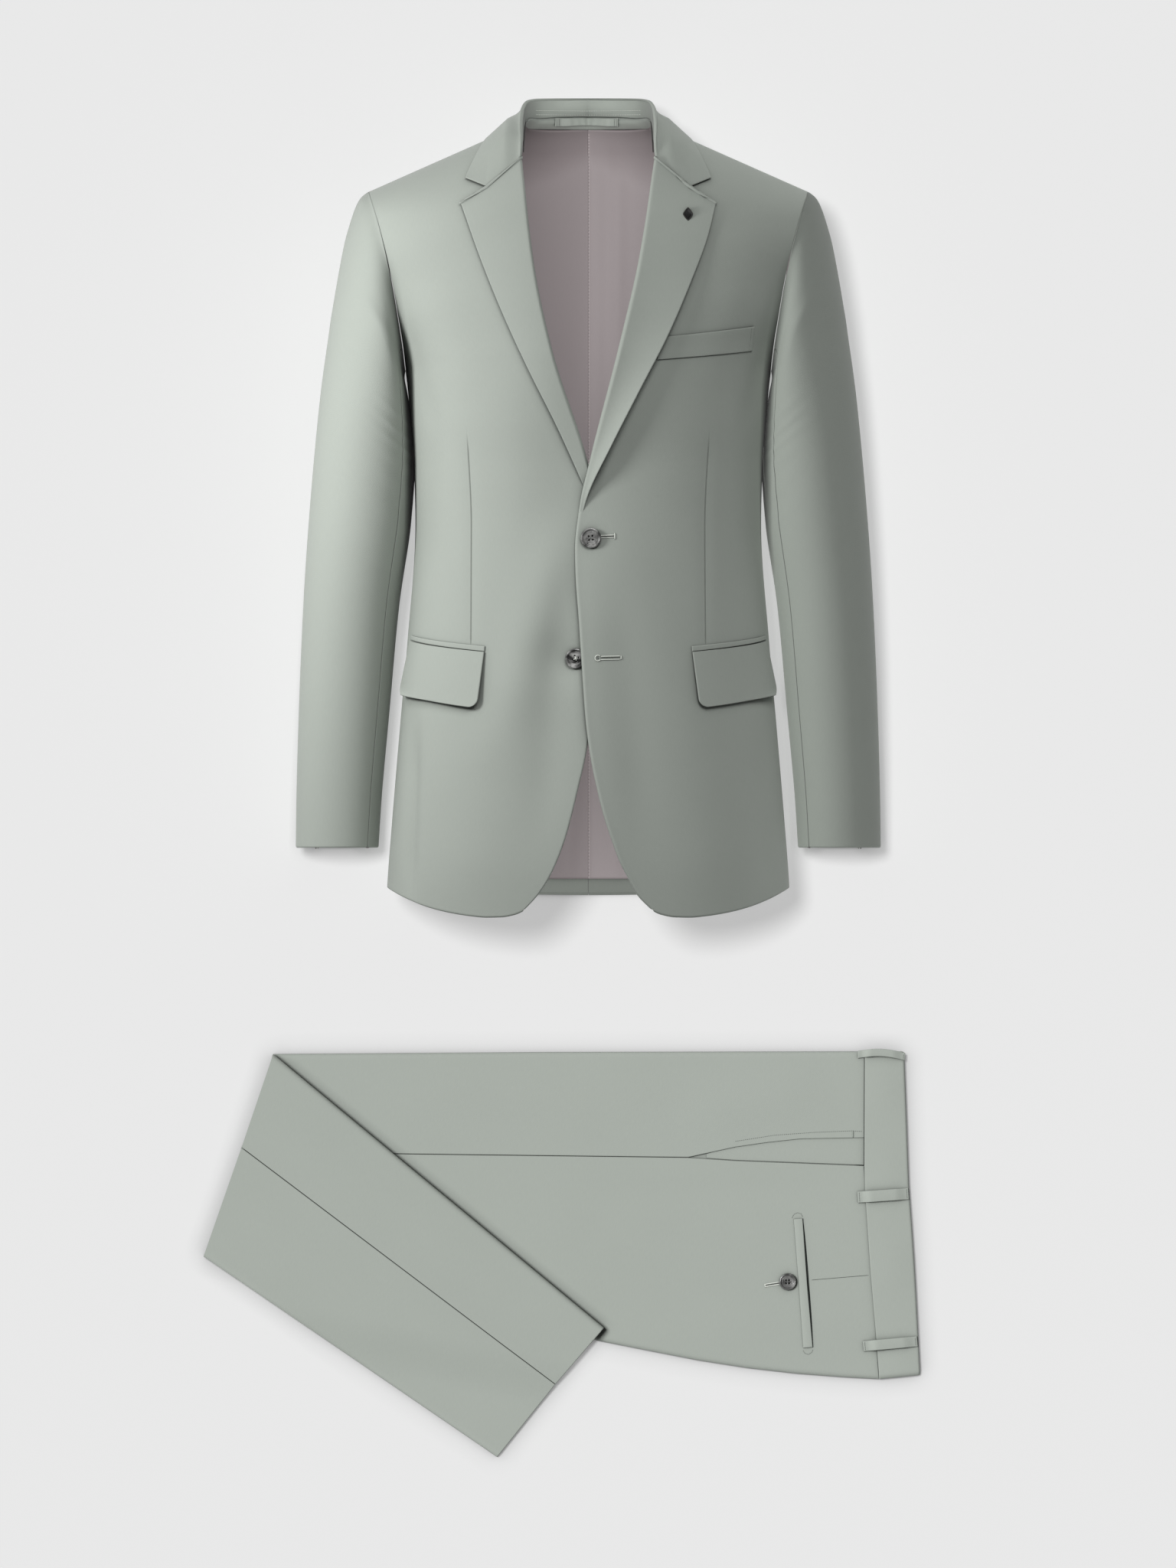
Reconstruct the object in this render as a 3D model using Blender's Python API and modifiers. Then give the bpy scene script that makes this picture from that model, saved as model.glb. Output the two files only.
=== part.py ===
"""A two-piece suit: a jacket lying on its back, filled out and hollow, and trousers folded flat below it.

The row frame is in metres with +Z up from the surface that both garments lie on, +Y towards the
collar and +X towards the wearer's left. Sizes below are in millimetres and are scaled as each mesh
is made. Jacket tables are written about the jacket's own centre line, at x = JACKET_X.
"""

import math
from collections import namedtuple

import bpy
import bmesh
from mathutils import Vector

MM = 0.001

# Driving sizes, in millimetres.
JACKET_X = 25.8            # the jacket's centre line in the row frame
SUITING = 1.5              # wall of the suiting
LINING = 1.0               # wall of the lining
SEAM_GAP = 0.9             # between the outer faces of two panels; their inner faces are closer
LAY_GAP = 0.4              # between a panel and what lies on it
SIDE_Z = 95.0              # height of the jacket's side seams above the surface
SHOULDER_TIP_X = 212.0
SHOULDER_TIP_Y = 565.0
SHOULDER_SLOPE = 0.4428
NECK_SEAM_Y = 631.0
NECK_AXIS_Z = 115.0
FRONT_ROUND = 2.3          # power of the superellipse that rounds the fronts
FRONT_ROOF = 85.0          # how far below the shoulder seam the fronts start to turn over
BACK_ROOF = 70.0
UNDERARM_Y = 392.0
BACK_SEAM_TURN = 42.0      # degrees round the back corner at which back and side panel meet
FRONT_BUTTON = 20.0        # diameters
POCKET_BUTTON = 16.6

COLOURS = {
    "suiting": ((0.36, 0.41, 0.36, 1.0), 0.85),
    "lining": ((0.47, 0.39, 0.39, 1.0), 0.45),
    "horn": ((0.12, 0.13, 0.12, 1.0), 0.3),
    "pin": ((0.05, 0.05, 0.05, 1.0), 0.35),
}

# The jacket's body, from hem to shoulder. Above the underarm the width runs on under the sleeve.
BodySection = namedtuple("BodySection", "y half_width front_z back_corner")
BODY = [
    BodySection(-140, 195.5, 206, 62),
    BodySection(-103, 193.8, 206, 62),
    BodySection(-42, 189.2, 205, 62),
    BodySection(56, 181.0, 204, 62),
    BodySection(130, 174.5, 202, 62),
    BodySection(245, 166.7, 199, 62),
    BodySection(298, 167.5, 201, 62),
    BodySection(345, 171.0, 206, 64),
    BodySection(392, 176.0, 210, 66),
    BodySection(413, 191.0, 211, 74),
    BodySection(448, 212.0, 211, 90),
    BodySection(487, 224.0, 209, 90),
    BodySection(532, 255.0, 203, 90),
    BodySection(565, 300.0, 195, 90),
    BodySection(640, 320.0, 168, 90),
]

# The armhole seam as seen from above.
ArmholePoint = namedtuple("ArmholePoint", "y x")
ARMHOLE = [
    ArmholePoint(392, 176.0),
    ArmholePoint(413, 178.6),
    ArmholePoint(448, 184.1),
    ArmholePoint(487, 191.1),
    ArmholePoint(532, 201.9),
    ArmholePoint(565, 212.0),
]

# Front edges: cutaway, lap and then the line where the lapel rolls over. The left front laps over.
EdgePoint = namedtuple("EdgePoint", "y x")
LEFT_FRONT_EDGE = [
    EdgePoint(-126.5, 62.0),
    EdgePoint(-113.2, 49.4),
    EdgePoint(-74.0, 37.5),
    EdgePoint(-13.5, 14.9),
    EdgePoint(43.7, -1.0),
    EdgePoint(107.3, -6.3),
    EdgePoint(150.2, -9.1),
    EdgePoint(195.4, -12.5),
    EdgePoint(220.5, -13.1),
    EdgePoint(261.2, -8.6),
    EdgePoint(304.9, 1.2),
    EdgePoint(418.4, 30.1),
    EdgePoint(501.7, 49.0),
    EdgePoint(577.6, 60.4),
    EdgePoint(640.0, 65.3),
]
RIGHT_FRONT_EDGE = [
    EdgePoint(-126.5, 62.0),
    EdgePoint(-113.2, 49.1),
    EdgePoint(-59.0, 26.7),
    EdgePoint(-5.9, 11.6),
    EdgePoint(43.7, 0.0),
    EdgePoint(107.3, -9.0),
    EdgePoint(195.4, -13.0),
    EdgePoint(245.0, -12.5),
    EdgePoint(308.6, 1.75),
    EdgePoint(410.8, 34.4),
    EdgePoint(494.0, 52.0),
    EdgePoint(577.6, 61.5),
    EdgePoint(640.0, 65.3),
]

# The fronts' hem, by share of the way from the front edge (0) to the side seam (1).
HemPoint = namedtuple("HemPoint", "share y")
FRONT_HEM = [
    HemPoint(0.0, -126.5),
    HemPoint(0.094, -133.5),
    HemPoint(0.242, -132.3),
    HemPoint(0.505, -125.3),
    HemPoint(0.8, -112.0),
    HemPoint(1.0, -105.5),
]
BACK_HEM_CENTRE_Y = -113.2
BACK_HEM_SIDE_Y = -106.5
SIDE_HEM_Y = -105.5
LINING_HEM_Y = -97.5
LINING_NECK_Y = 624.5
LINING_LIFT = 2.5          # from the back's outer face to the lining's under face

# The lapels' outer edges, from the tip down to where they die into the front edge.
LapelPoint = namedtuple("LapelPoint", "y x")
LEFT_LAPEL_EDGE = [
    LapelPoint(262.0, -8.0),
    LapelPoint(270.0, -5.6),
    LapelPoint(319.9, 21.0),
    LapelPoint(373.0, 49.0),
    LapelPoint(426.0, 77.0),
    LapelPoint(475.2, 98.2),
    LapelPoint(524.7, 116.5),
    LapelPoint(554.0, 123.2),
]
RIGHT_LAPEL_EDGE = [
    LapelPoint(270.0, -3.0),
    LapelPoint(284.3, 4.8),
    LapelPoint(335.2, 29.1),
    LapelPoint(395.9, 59.5),
    LapelPoint(448.7, 83.6),
    LapelPoint(501.7, 104.8),
    LapelPoint(554.0, 123.1),
]
GORGE_INNER_Y = 598.0

# The collar, from the centre of the back neck (0) round to its front end (1). A turn is in degrees
# over the shoulder: negative down the back, 0 at the shoulder seam, positive down the front.
CollarSection = namedtuple("CollarSection", "share fold_x fold_y fold_z neck_x neck_turn edge_x edge_turn")
COLLAR = [
    CollarSection(0.00, 0.0, 656.8, 29.0, 0.0, -53.0, 0.0, -70.0),
    CollarSection(0.15, 26.0, 656.7, 32.0, 27.0, -38.0, 37.0, -60.0),
    CollarSection(0.30, 49.0, 656.2, 47.0, 50.0, -24.0, 70.0, -45.0),
    CollarSection(0.42, 60.3, 654.0, 72.0, 60.0, -11.0, 92.0, -27.0),
    CollarSection(0.54, 65.6, 645.0, 104.0, 64.8, 1.0, 102.0, 1.0),
    CollarSection(0.68, 66.6, 632.0, 132.0, 65.4, 20.0, 107.5, 23.0),
    CollarSection(0.84, 65.8, 615.0, 156.0, 65.2, 40.0, 113.0, 40.0),
    CollarSection(1.00, 64.6, 601.4, 172.5, 64.6, 52.0, 118.5, 50.5),
]
NOTCH_TURN = 11.5          # how much further down the collar's end reaches at the notch

# The sleeves: outer and inner silhouette and height of each ring, from the armhole to the cuff.
SleeveRing = namedtuple("SleeveRing", "station outer_x outer_y inner_x inner_y low_z high_z")
SLEEVE = [
    SleeveRing(0, 212.0, 565.0, 176.0, 392.0, 26, 163),
    SleeveRing(1, 223.5, 556.0, 177.5, 384.0, 20, 166),
    SleeveRing(2, 233.2, 524.0, 176.6, 370.0, 13, 164),
    SleeveRing(3, 243.4, 472.0, 174.0, 345.0, 7, 157),
    SleeveRing(4, 251.5, 420.0, 171.6, 320.0, 3, 150),
    SleeveRing(5, 258.0, 373.0, 169.3, 298.0, 1, 145),
    SleeveRing(6, 266.9, 282.0, 171.0, 245.0, 0, 137),
    SleeveRing(7, 274.5, 176.0, 182.5, 165.0, 0, 124),
    SleeveRing(8, 279.2, 69.9, 191.5, 68.0, 0, 111),
    SleeveRing(9, 281.8, -21.0, 199.5, -21.0, 0, 100),
    SleeveRing(10, 282.4, -67.5, 202.5, -67.5, 0, 95),
]
FRONT_SLEEVE_SEAM = 138.0   # degrees round a ring from its outer silhouette
HIND_SLEEVE_SEAM = -60.0

# The trousers' driving points as they lie, in the row frame.
FOLD_TOP = (-278.6, -266.8)
FOLD_BOTTOM = (-346.0, -462.5)
FOLD_SEAM = (-309.2, -357.0)
HEM_TOP = (41.2, -531.3)
HEM_BOTTOM = (-62.2, -656.4)
HEM_SEAM = (-5.9, -586.1)
STACK_TOP_Z = 9.2          # upper face of the trousers' flat part
FOLDED_TOP_Z = 18.8        # upper face of the folded-over leg
CREASE_RADIUS = 5.0


# Table reading and small shape functions

def through(rows, at, column):
    """Smooth value of a table's column at a place along its first column, without overshoot."""
    keys = [row[0] for row in rows]
    values = [getattr(row, column) for row in rows]
    if at <= keys[0]:
        return values[0]
    if at >= keys[-1]:
        return values[-1]
    spans = [b - a for a, b in zip(keys, keys[1:])]
    slopes = [(b - a) / span for a, b, span in zip(values, values[1:], spans)]
    tangents = [slopes[0]]
    for before, after in zip(slopes, slopes[1:]):
        tangents.append(0.0 if before * after <= 0 else 2 * before * after / (before + after))
    tangents.append(slopes[-1])
    index = max(i for i, key in enumerate(keys[:-1]) if key <= at)
    span = spans[index]
    t = (at - keys[index]) / span
    return (
        values[index] * (2 * t**3 - 3 * t**2 + 1)
        + tangents[index] * span * (t**3 - 2 * t**2 + t)
        + values[index + 1] * (3 * t**2 - 2 * t**3)
        + tangents[index + 1] * span * (t**3 - t**2)
    )


def blend(start, end, share):
    return start + (end - start) * share


def smoothstep(low, high, value):
    share = min(1.0, max(0.0, (value - low) / (high - low)))
    return share * share * (3 - 2 * share)


def rounded(share, power):
    """Height, 1 to 0, of a rounded profile at a share of the way from its middle to its edge."""
    return max(0.0, 1.0 - min(1.0, abs(share)) ** power) ** (1.0 / power)


# The jacket's form

def shoulder_y(x):
    """The shoulder seam, which is the jacket's outline as seen from above."""
    return SHOULDER_TIP_Y + SHOULDER_SLOPE * (SHOULDER_TIP_X - abs(x))


def front_skin(x, y):
    """Point of the fronts' outer face at a place seen from above."""
    width = through(BODY, y, "half_width")
    across = rounded(x / width, FRONT_ROUND)
    over = rounded(max(0.0, 1 - (shoulder_y(x) - y) / FRONT_ROOF), FRONT_ROUND)
    return Vector((x, y, SIDE_Z + (through(BODY, y, "front_z") - SIDE_Z) * across * over))


def back_skin(x, y):
    """Point of the back's outer face, which lies flat but for its corners and shoulders."""
    width = through(BODY, y, "half_width")
    corner = through(BODY, y, "back_corner")
    across = rounded(max(0.0, abs(x) - (width - corner)) / corner, 2)
    over = rounded(max(0.0, 1 - (shoulder_y(x) - y) / BACK_ROOF), 2)
    return Vector((x, y, SIDE_Z * (1 - across * over)))


def back_corner_x(y, turn):
    """How far out the back's corner is at a turn, in degrees, from flat towards the side seam."""
    corner = through(BODY, y, "back_corner")
    return through(BODY, y, "half_width") - corner + corner * math.sin(math.radians(turn))


def shoulder_skin(x, turn):
    """Point of the outer face by its turn over the shoulder, down the front or down the back."""
    angle = math.radians(abs(turn))
    power, roof = (FRONT_ROUND, FRONT_ROOF) if turn > 0 else (2, BACK_ROOF)
    y = shoulder_y(x) - roof * (1 - math.cos(angle) ** (2 / power))
    over = math.sin(angle) ** (2 / power)
    width = through(BODY, y, "half_width")
    if turn > 0:
        reach = (through(BODY, y, "front_z") - SIDE_Z) * rounded(x / width, FRONT_ROUND)
        return Vector((x, y, SIDE_Z + reach * over))
    return Vector((x, y, SIDE_Z * (1 - over)))


OUTWARD = {front_skin: 1, back_skin: -1, shoulder_skin: -1}


def raised(skin, a, b, lift):
    """Point above a skin by a lift along its normal; a negative lift is inside the garment."""
    step = 0.5
    along_a = skin(a + step, b) - skin(a - step, b)
    along_b = skin(a, b + step) - skin(a, b - step)
    return skin(a, b) + along_a.cross(along_b).normalized() * lift * OUTWARD[skin]


def lap_dip(x, y):
    """How far the right front sinks near the centre, to pass under the left front."""
    return 7.5 * smoothstep(-78, -12, x) * (1 - smoothstep(325, 430, y)) * smoothstep(-60, 60, y)


# Meshes

def suit_material(name, kind):
    colour, roughness = COLOURS[kind]
    material = bpy.data.materials.new(name)
    material.use_nodes = True
    shader = material.node_tree.nodes["Principled BSDF"]
    shader.inputs["Base Color"].default_value = colour
    shader.inputs["Roughness"].default_value = roughness
    shader.inputs["Metallic"].default_value = 0.8 if kind == "pin" else 0.0
    return material


def new_object(name, bm, kind, offset_x=0.0):
    """Object from a bmesh in millimetres, scaled to metres and moved along X."""
    mesh = bpy.data.meshes.new(name)
    for vertex in bm.verts:
        vertex.co = (vertex.co + Vector((offset_x, 0, 0))) * MM
    bm.to_mesh(mesh)
    bm.free()
    mesh.shade_smooth()
    mesh.set_sharp_from_angle(angle=math.radians(40))
    piece = bpy.data.objects.new(name, mesh)
    mesh.materials.append(suit_material(name + "_finish", kind))
    suit_collection.objects.link(piece)
    return piece


def sheet(name, grid, wall, kind="suiting", flip=False, offset_x=0.0):
    """Cloth from a grid of points on its outer face, given its wall inwards."""
    bm = bmesh.new()
    rows = [[bm.verts.new(point) for point in row] for row in grid]
    for low, high in zip(rows, rows[1:]):
        for j in range(len(low) - 1):
            corners = [low[j], low[j + 1], high[j + 1], high[j]]
            bm.faces.new(corners[::-1] if flip else corners)
    piece = new_object(name, bm, kind, offset_x)
    solidify = piece.modifiers.new("wall", "SOLIDIFY")
    solidify.thickness = wall * MM
    solidify.offset = -1.0
    return piece


def mirrored(grid, side):
    """The grid for the wearer's left (side 1) or, mirrored, for the wearer's right (side -1)."""
    return [[Vector((side * point.x, point.y, point.z)) for point in row] for row in grid]


# Jacket body

FRONT_COLUMNS = [0, 0.05, 0.12, 0.24, 0.38, 0.52, 0.66, 0.8, 0.91, 1]
BACK_COLUMNS = [0, 0.1, 0.18, 0.24, 0.3, 0.38, 0.52, 0.7, 0.85, 0.95, 1]
LOWER_ROWS = [0, 0.015, 0.04, 0.08, 0.14, 0.21, 0.29, 0.37, 0.45, 0.53, 0.61, 0.69, 0.77, 0.85, 0.925, 1]
ROOF_TURNS = [74, 60, 46, 33, 21, 10, 0.2]
CENTRE_GAP = 0.5            # from the centre line to each half of the back


def panel_rows(x_at, hem_y, roof, power, neck_y):
    """One column of a body panel, from its hem up and over the shoulder to its top seam."""
    places = []
    top = SHOULDER_TIP_Y
    for _ in range(20):
        top = shoulder_y(x_at(top))
    base = top - roof
    for share in LOWER_ROWS:
        places.append(blend(hem_y, base, share))
    spare = max(0.0, top - neck_y) / roof
    last_turn = math.degrees(math.acos(min(1.0, 1 - spare)))
    for turn in ROOF_TURNS:
        angle = math.radians(blend(last_turn, 90, turn / 90))
        y = base
        for _ in range(20):
            y = shoulder_y(x_at(y)) - roof * (1 - math.cos(angle) ** (2 / power))
        places.append(y)
    return places


def front_panel(name, side, edge, dip):
    """A front, cut away at the hem and turned over the shoulder at the top."""
    def x_at(share, y):
        outer = through(ARMHOLE, y, "x") - SEAM_GAP / 2 if y > UNDERARM_Y else None
        width = through(BODY, y, "half_width")
        start = math.asin(through(edge, y, "x") / width)
        end = math.asin(outer / width) if outer else math.radians(89.7)
        return width * math.sin(blend(start, end, share))

    columns = []
    for share in FRONT_COLUMNS:
        hem_y = through(FRONT_HEM, share, "y")
        heights = panel_rows(lambda y: x_at(share, y), hem_y, FRONT_ROOF, FRONT_ROUND, 999)
        column = []
        for y in heights:
            point = front_skin(x_at(share, y), y)
            point.z -= lap_dip(-point.x, y) if dip else 0
            column.append(point)
        columns.append(column)
    grid = [list(row) for row in zip(*columns)]
    sheet(name, mirrored(grid, side), SUITING, flip=side < 0, offset_x=JACKET_X)


def back_x(share, y):
    """How far out a column of the back lies, by its share of the way from centre to side."""
    outer = back_corner_x(y, BACK_SEAM_TURN) - SEAM_GAP / 2
    if y > UNDERARM_Y:
        outer = min(outer, through(ARMHOLE, y, "x") - SEAM_GAP / 2)
    return blend(CENTRE_GAP, outer, share)


def back_rows(share):
    """Heights along one column of the back, from its hem to the neck seam or the shoulder seam."""
    hem_y = blend(BACK_HEM_CENTRE_Y, BACK_HEM_SIDE_Y, share**2)
    return panel_rows(lambda y: back_x(share, y), hem_y, BACK_ROOF, 2, NECK_SEAM_Y)


def back_panel(name, side):
    """A back, flat on the surface, from the centre seam to the side panel and armhole."""
    columns = [[back_skin(back_x(share, y), y) for y in back_rows(share)] for share in BACK_COLUMNS]
    grid = [list(row) for row in zip(*columns)]
    sheet(name, mirrored(grid, side), SUITING, flip=side > 0, offset_x=JACKET_X)


def underarm_y(turn):
    """Where the armhole crosses a line at a turn round the back's corner."""
    low, high = UNDERARM_Y, 500.0
    for _ in range(30):
        middle = (low + high) / 2
        if through(ARMHOLE, middle, "x") < back_corner_x(middle, turn):
            high = middle
        else:
            low = middle
    return low


def side_panel(name, side):
    """The panel under the arm, between the back's corner and the side seam."""
    half_gap = math.degrees(SEAM_GAP / 2 / 65)
    grid = []
    for share in [0, 0.14, 0.28, 0.42, 0.56, 0.7, 0.85, 1]:
        row = []
        for turn in [BACK_SEAM_TURN + half_gap, 54, 66, 78, 90 - half_gap]:
            hem_y = blend(BACK_HEM_SIDE_Y, SIDE_HEM_Y, (turn - BACK_SEAM_TURN) / 48)
            y = blend(hem_y, underarm_y(turn) - 1.0, share)
            row.append(back_skin(back_corner_x(y, turn), y))
        grid.append(row)
    sheet(name, mirrored(grid, side), SUITING, flip=side > 0, offset_x=JACKET_X)


def back_lining(name, side):
    """The lining on the inside of the back, with its seam on the centre."""
    top_drop = back_rows(0)[-2] - LINING_NECK_Y
    columns = []
    for share in BACK_COLUMNS[:-2]:
        heights = [LINING_HEM_Y] + back_rows(share)[2:-1]
        heights[-1] -= top_drop
        column = []
        for y in heights:
            lift = LINING_LIFT + 0.5 * smoothstep(600, 618, y)
            column.append(raised(back_skin, back_x(share, y), y, -lift))
        columns.append(column)
    for point in columns[0]:
        point.x = 2.5 * CENTRE_GAP
    grid = [list(row) for row in zip(*columns)]
    sheet(name, mirrored(grid, side), LINING, "lining", flip=side > 0, offset_x=JACKET_X)


def back_neck_facing():
    """The strip of suiting between the lining and the collar's stand."""
    grid = []
    for y in [LINING_NECK_Y + 0.5, NECK_SEAM_Y - 0.8]:
        grid.append([raised(back_skin, x, y, -LINING_LIFT - 0.9) for x in range(-45, 46, 6)])
    sheet("back_neck_facing", grid, LINING, flip=True, offset_x=JACKET_X)


# Lapels and collar

def lapel(name, side, roll, outer_edge, dip):
    """A lapel, rolled over at its inner edge and lying on the front."""
    def on_front(x, y, lift):
        point = raised(front_skin, x, y, lift)
        point.z -= lap_dip(-x, y) if dip else 0
        return point

    bottom = outer_edge[0].y
    tip = outer_edge[-1]
    lies = LAY_GAP + SUITING
    grid = []
    for share in [0, 0.06, 0.14, 0.24, 0.35, 0.46, 0.57, 0.68, 0.78, 0.87, 0.94, 1]:
        inner_y = blend(bottom, GORGE_INNER_Y, share)
        inner = Vector((through(roll, inner_y, "x"), inner_y))
        outer_y = blend(bottom, tip.y, share)
        outer = Vector((through(outer_edge, outer_y, "x"), outer_y))
        soft = smoothstep(0, 0.35, share)
        row = [on_front(inner.x + across, inner.y, lift + soft * roll_up)
               for across, lift, roll_up in [(-2.3, -0.7, 0), (-2.3, 1.4, 0.6), (0.0, lies + 1.0, 1.6)]]
        for u in [0.2, 0.45, 0.72, 1]:
            place = inner.lerp(outer, u)
            notch = 1 - abs(u - 0.57) / 0.57 if u < 0.57 else (1 - u) / 0.43
            y = place.y - 2.8 * notch * smoothstep(0.94, 1, share)
            belly = soft * (3.0 * (1 - u) ** 1.5 + 1.0 * math.sin(math.pi * u))
            row.append(on_front(place.x, y, lies + belly + 0.7))
        grid.append(row)
    sheet(name, mirrored(grid, side), SUITING, flip=side < 0, offset_x=JACKET_X)


def collar_values(share):
    """The collar's fold, neck seam and outer edge at a share of the way to its front end."""
    values = [through(COLLAR, min(1.0, abs(share)), name) for name in CollarSection._fields[1:]]
    return Vector(values[:3]), values[3:5], values[5:]


def collar_point(share, across):
    """Point of the collar's fall from its fold (across 0) to its outer edge (across 1)."""
    fold, (neck_x, neck_turn), (edge_x, edge_turn) = collar_values(share)
    notch = across / 0.62 if across < 0.62 else (1 - across) / 0.38
    turn = blend(neck_turn, edge_turn, across) + NOTCH_TURN * notch * smoothstep(0.9, 1, abs(share))
    lies = LAY_GAP + SUITING + 1.0 + 5.0 * (1 - across) ** 1.5
    on_shoulder = raised(shoulder_skin, blend(neck_x, edge_x, across), turn, lies)
    point = fold.lerp(on_shoulder, smoothstep(-0.25, 0.5, across) if across else 0.0)
    return Vector((math.copysign(1, share) * point.x, point.y, point.z))


def collar_fall():
    """The collar's outer leaf, from its fold down over the shoulders and back."""
    half = [0.1, 0.2, 0.3, 0.36, 0.42, 0.48, 0.54, 0.61, 0.68, 0.76, 0.84, 0.92, 1]
    shares = [-share for share in reversed(half)] + [0] + half
    grid = [[collar_point(share, across) for across in [0, 0.12, 0.36, 0.62, 0.82, 1]] for share in shares]
    sheet("collar_fall", grid, SUITING, flip=True, offset_x=JACKET_X)


def stand_point(share, down, lift=0.0):
    """Point of the collar stand's inner face, from its fold (down 0) to the neck seam (down 1)."""
    fold, (neck_x, neck_turn), _ = collar_values(share)
    inward = Vector((-fold.x, 0, NECK_AXIS_Z - fold.z)).normalized()
    side = smoothstep(0.15, 0.4, abs(share))
    top = fold + inward * (2 * SUITING + 0.8) + Vector((0, -1.0, 0))
    seam = shoulder_skin(neck_x, neck_turn)
    above = 1.8 * (1 - smoothstep(0.5, 0.6, abs(share)))
    bottom = seam + Vector((0, above, 0)) + inward * blend(1.6, 2 * SUITING + 1.0, side)
    point = top.lerp(bottom, down) + inward * lift
    return Vector((math.copysign(1, share) * point.x, point.y, point.z))


def collar_stand():
    """The collar's inner band, which stands up round the back of the neck."""
    half = [0.1, 0.2, 0.3, 0.36, 0.42, 0.48, 0.54, 0.62, 0.7]
    shares = [-share for share in reversed(half)] + [0] + half
    grid = [[stand_point(share, down) for down in (0, 0.5, 1)] for share in shares]
    sheet("collar_stand", grid, SUITING, offset_x=JACKET_X)


def hanger_loop():
    """The loop of suiting inside the neck, sewn down at both ends."""
    grid = []
    for share, rise in [(-0.18, 1.5), (-0.155, 1.7), (-0.11, 2.8), (-0.04, 3.6),
                        (0.04, 3.6), (0.1, 2.8), (0.14, 1.7), (0.165, 1.5)]:
        grid.append([stand_point(share, down, LINING + rise) for down in (1.12, 0.78)])
    sheet("hanger_loop", grid, LINING, flip=True, offset_x=JACKET_X)


# Sleeves

def armhole_loop(turn):
    """The armhole seam in space, by degrees round it: 0 at the shoulder, 90 at the front."""
    angle = math.radians(turn)
    middle = (SHOULDER_TIP_Y + UNDERARM_Y) / 2
    half = (SHOULDER_TIP_Y - UNDERARM_Y) / 2
    y = middle + half * math.cos(angle)
    x = through(ARMHOLE, y, "x")
    skin = front_skin if math.sin(angle) > 0 else back_skin
    point = skin(x, y)
    point.x += SEAM_GAP + 0.3
    return point


def sleeve_skin(station, turn):
    """Point of a sleeve by its station along the arm and degrees round from its outer edge."""
    outer_x, outer_y, inner_x, inner_y, low_z, high_z = [
        through(SLEEVE, station, name) for name in SleeveRing._fields[1:]]
    angle = math.radians(turn)
    outer = Vector((outer_x, outer_y, 0))
    inner = Vector((inner_x, inner_y, 0))
    point = (outer + inner) / 2 + (outer - inner) / 2 * math.cos(angle)
    middle_z = (low_z + high_z) / 2
    half_z = (high_z - low_z) / 2
    reach = abs(math.sin(angle)) ** (2 / 2.2) * math.copysign(1, math.sin(angle))
    point.z = max(low_z, middle_z + half_z * reach * (1.06 if reach < 0 else 1))
    loop_share = max(0.0, 1 - station / 2.2) ** 1.6
    return point.lerp(armhole_loop(turn), loop_share)


SLEEVE_STATIONS = [0, 0.3, 0.7, 1.2, 1.8, 2.6, 3.5, 4.5, 5.6, 6.6, 7.5, 8.4, 9.3, 10]


def sleeve(name, side, start, end, steps):
    """Part of a sleeve between two seams, given in degrees round its rings."""
    half_gap = math.degrees(SEAM_GAP / 2 / 32)
    turns = [blend(start + half_gap, end - half_gap, i / steps) for i in range(steps + 1)]
    grid = [[sleeve_skin(station, turn) for turn in turns] for station in SLEEVE_STATIONS]
    sheet(name, mirrored(grid, side), SUITING, flip=side < 0, offset_x=JACKET_X)


# Pockets

def front_angle(x, y):
    return math.asin(x / through(BODY, y, "half_width"))


def on_front_between(start, end, share, lift):
    """Point on the fronts between two places, spaced evenly round the body, and raised."""
    y = blend(start[1], end[1], share)
    turn = blend(front_angle(*start), front_angle(*end), share)
    return raised(front_skin, through(BODY, y, "half_width") * math.sin(turn), y, lift)


def flap(name, side):
    """A hip pocket's flap, hanging from its jet and rounded at its lower corners."""
    grid = []
    for share, inset in [(0, 0), (0.4, 0), (0.8, 0), (0.93, 2.0), (1, 6.5)]:
        start = (blend(100.6, 108.5, share) + inset, blend(119.3, 70.5, share))
        end = (blend(171.5, 176.6, share) - inset * 0.4, blend(131.2, 80.5, share))
        grid.append([on_front_between(start, end, u, LAY_GAP + SUITING + 1.6 * share + 2.0 * share * u**2 + 0.3)
                     for u in [0, 0.1, 0.28, 0.46, 0.64, 0.82, 0.93, 1]])
    sheet(name, mirrored(grid, side), SUITING, flip=side > 0, offset_x=JACKET_X)


def strip_on_front(name, side, low_line, high_line, steps, wall):
    """A strip on a front between two straight lines, each given by its two ends."""
    grid = []
    for start, end in (low_line, high_line):
        grid.append([on_front_between(start, end, i / steps, LAY_GAP + wall + 0.2) for i in range(steps + 1)])
    sheet(name, mirrored(grid, side), wall, flip=side < 0, offset_x=JACKET_X)


# Buttons and pin

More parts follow.
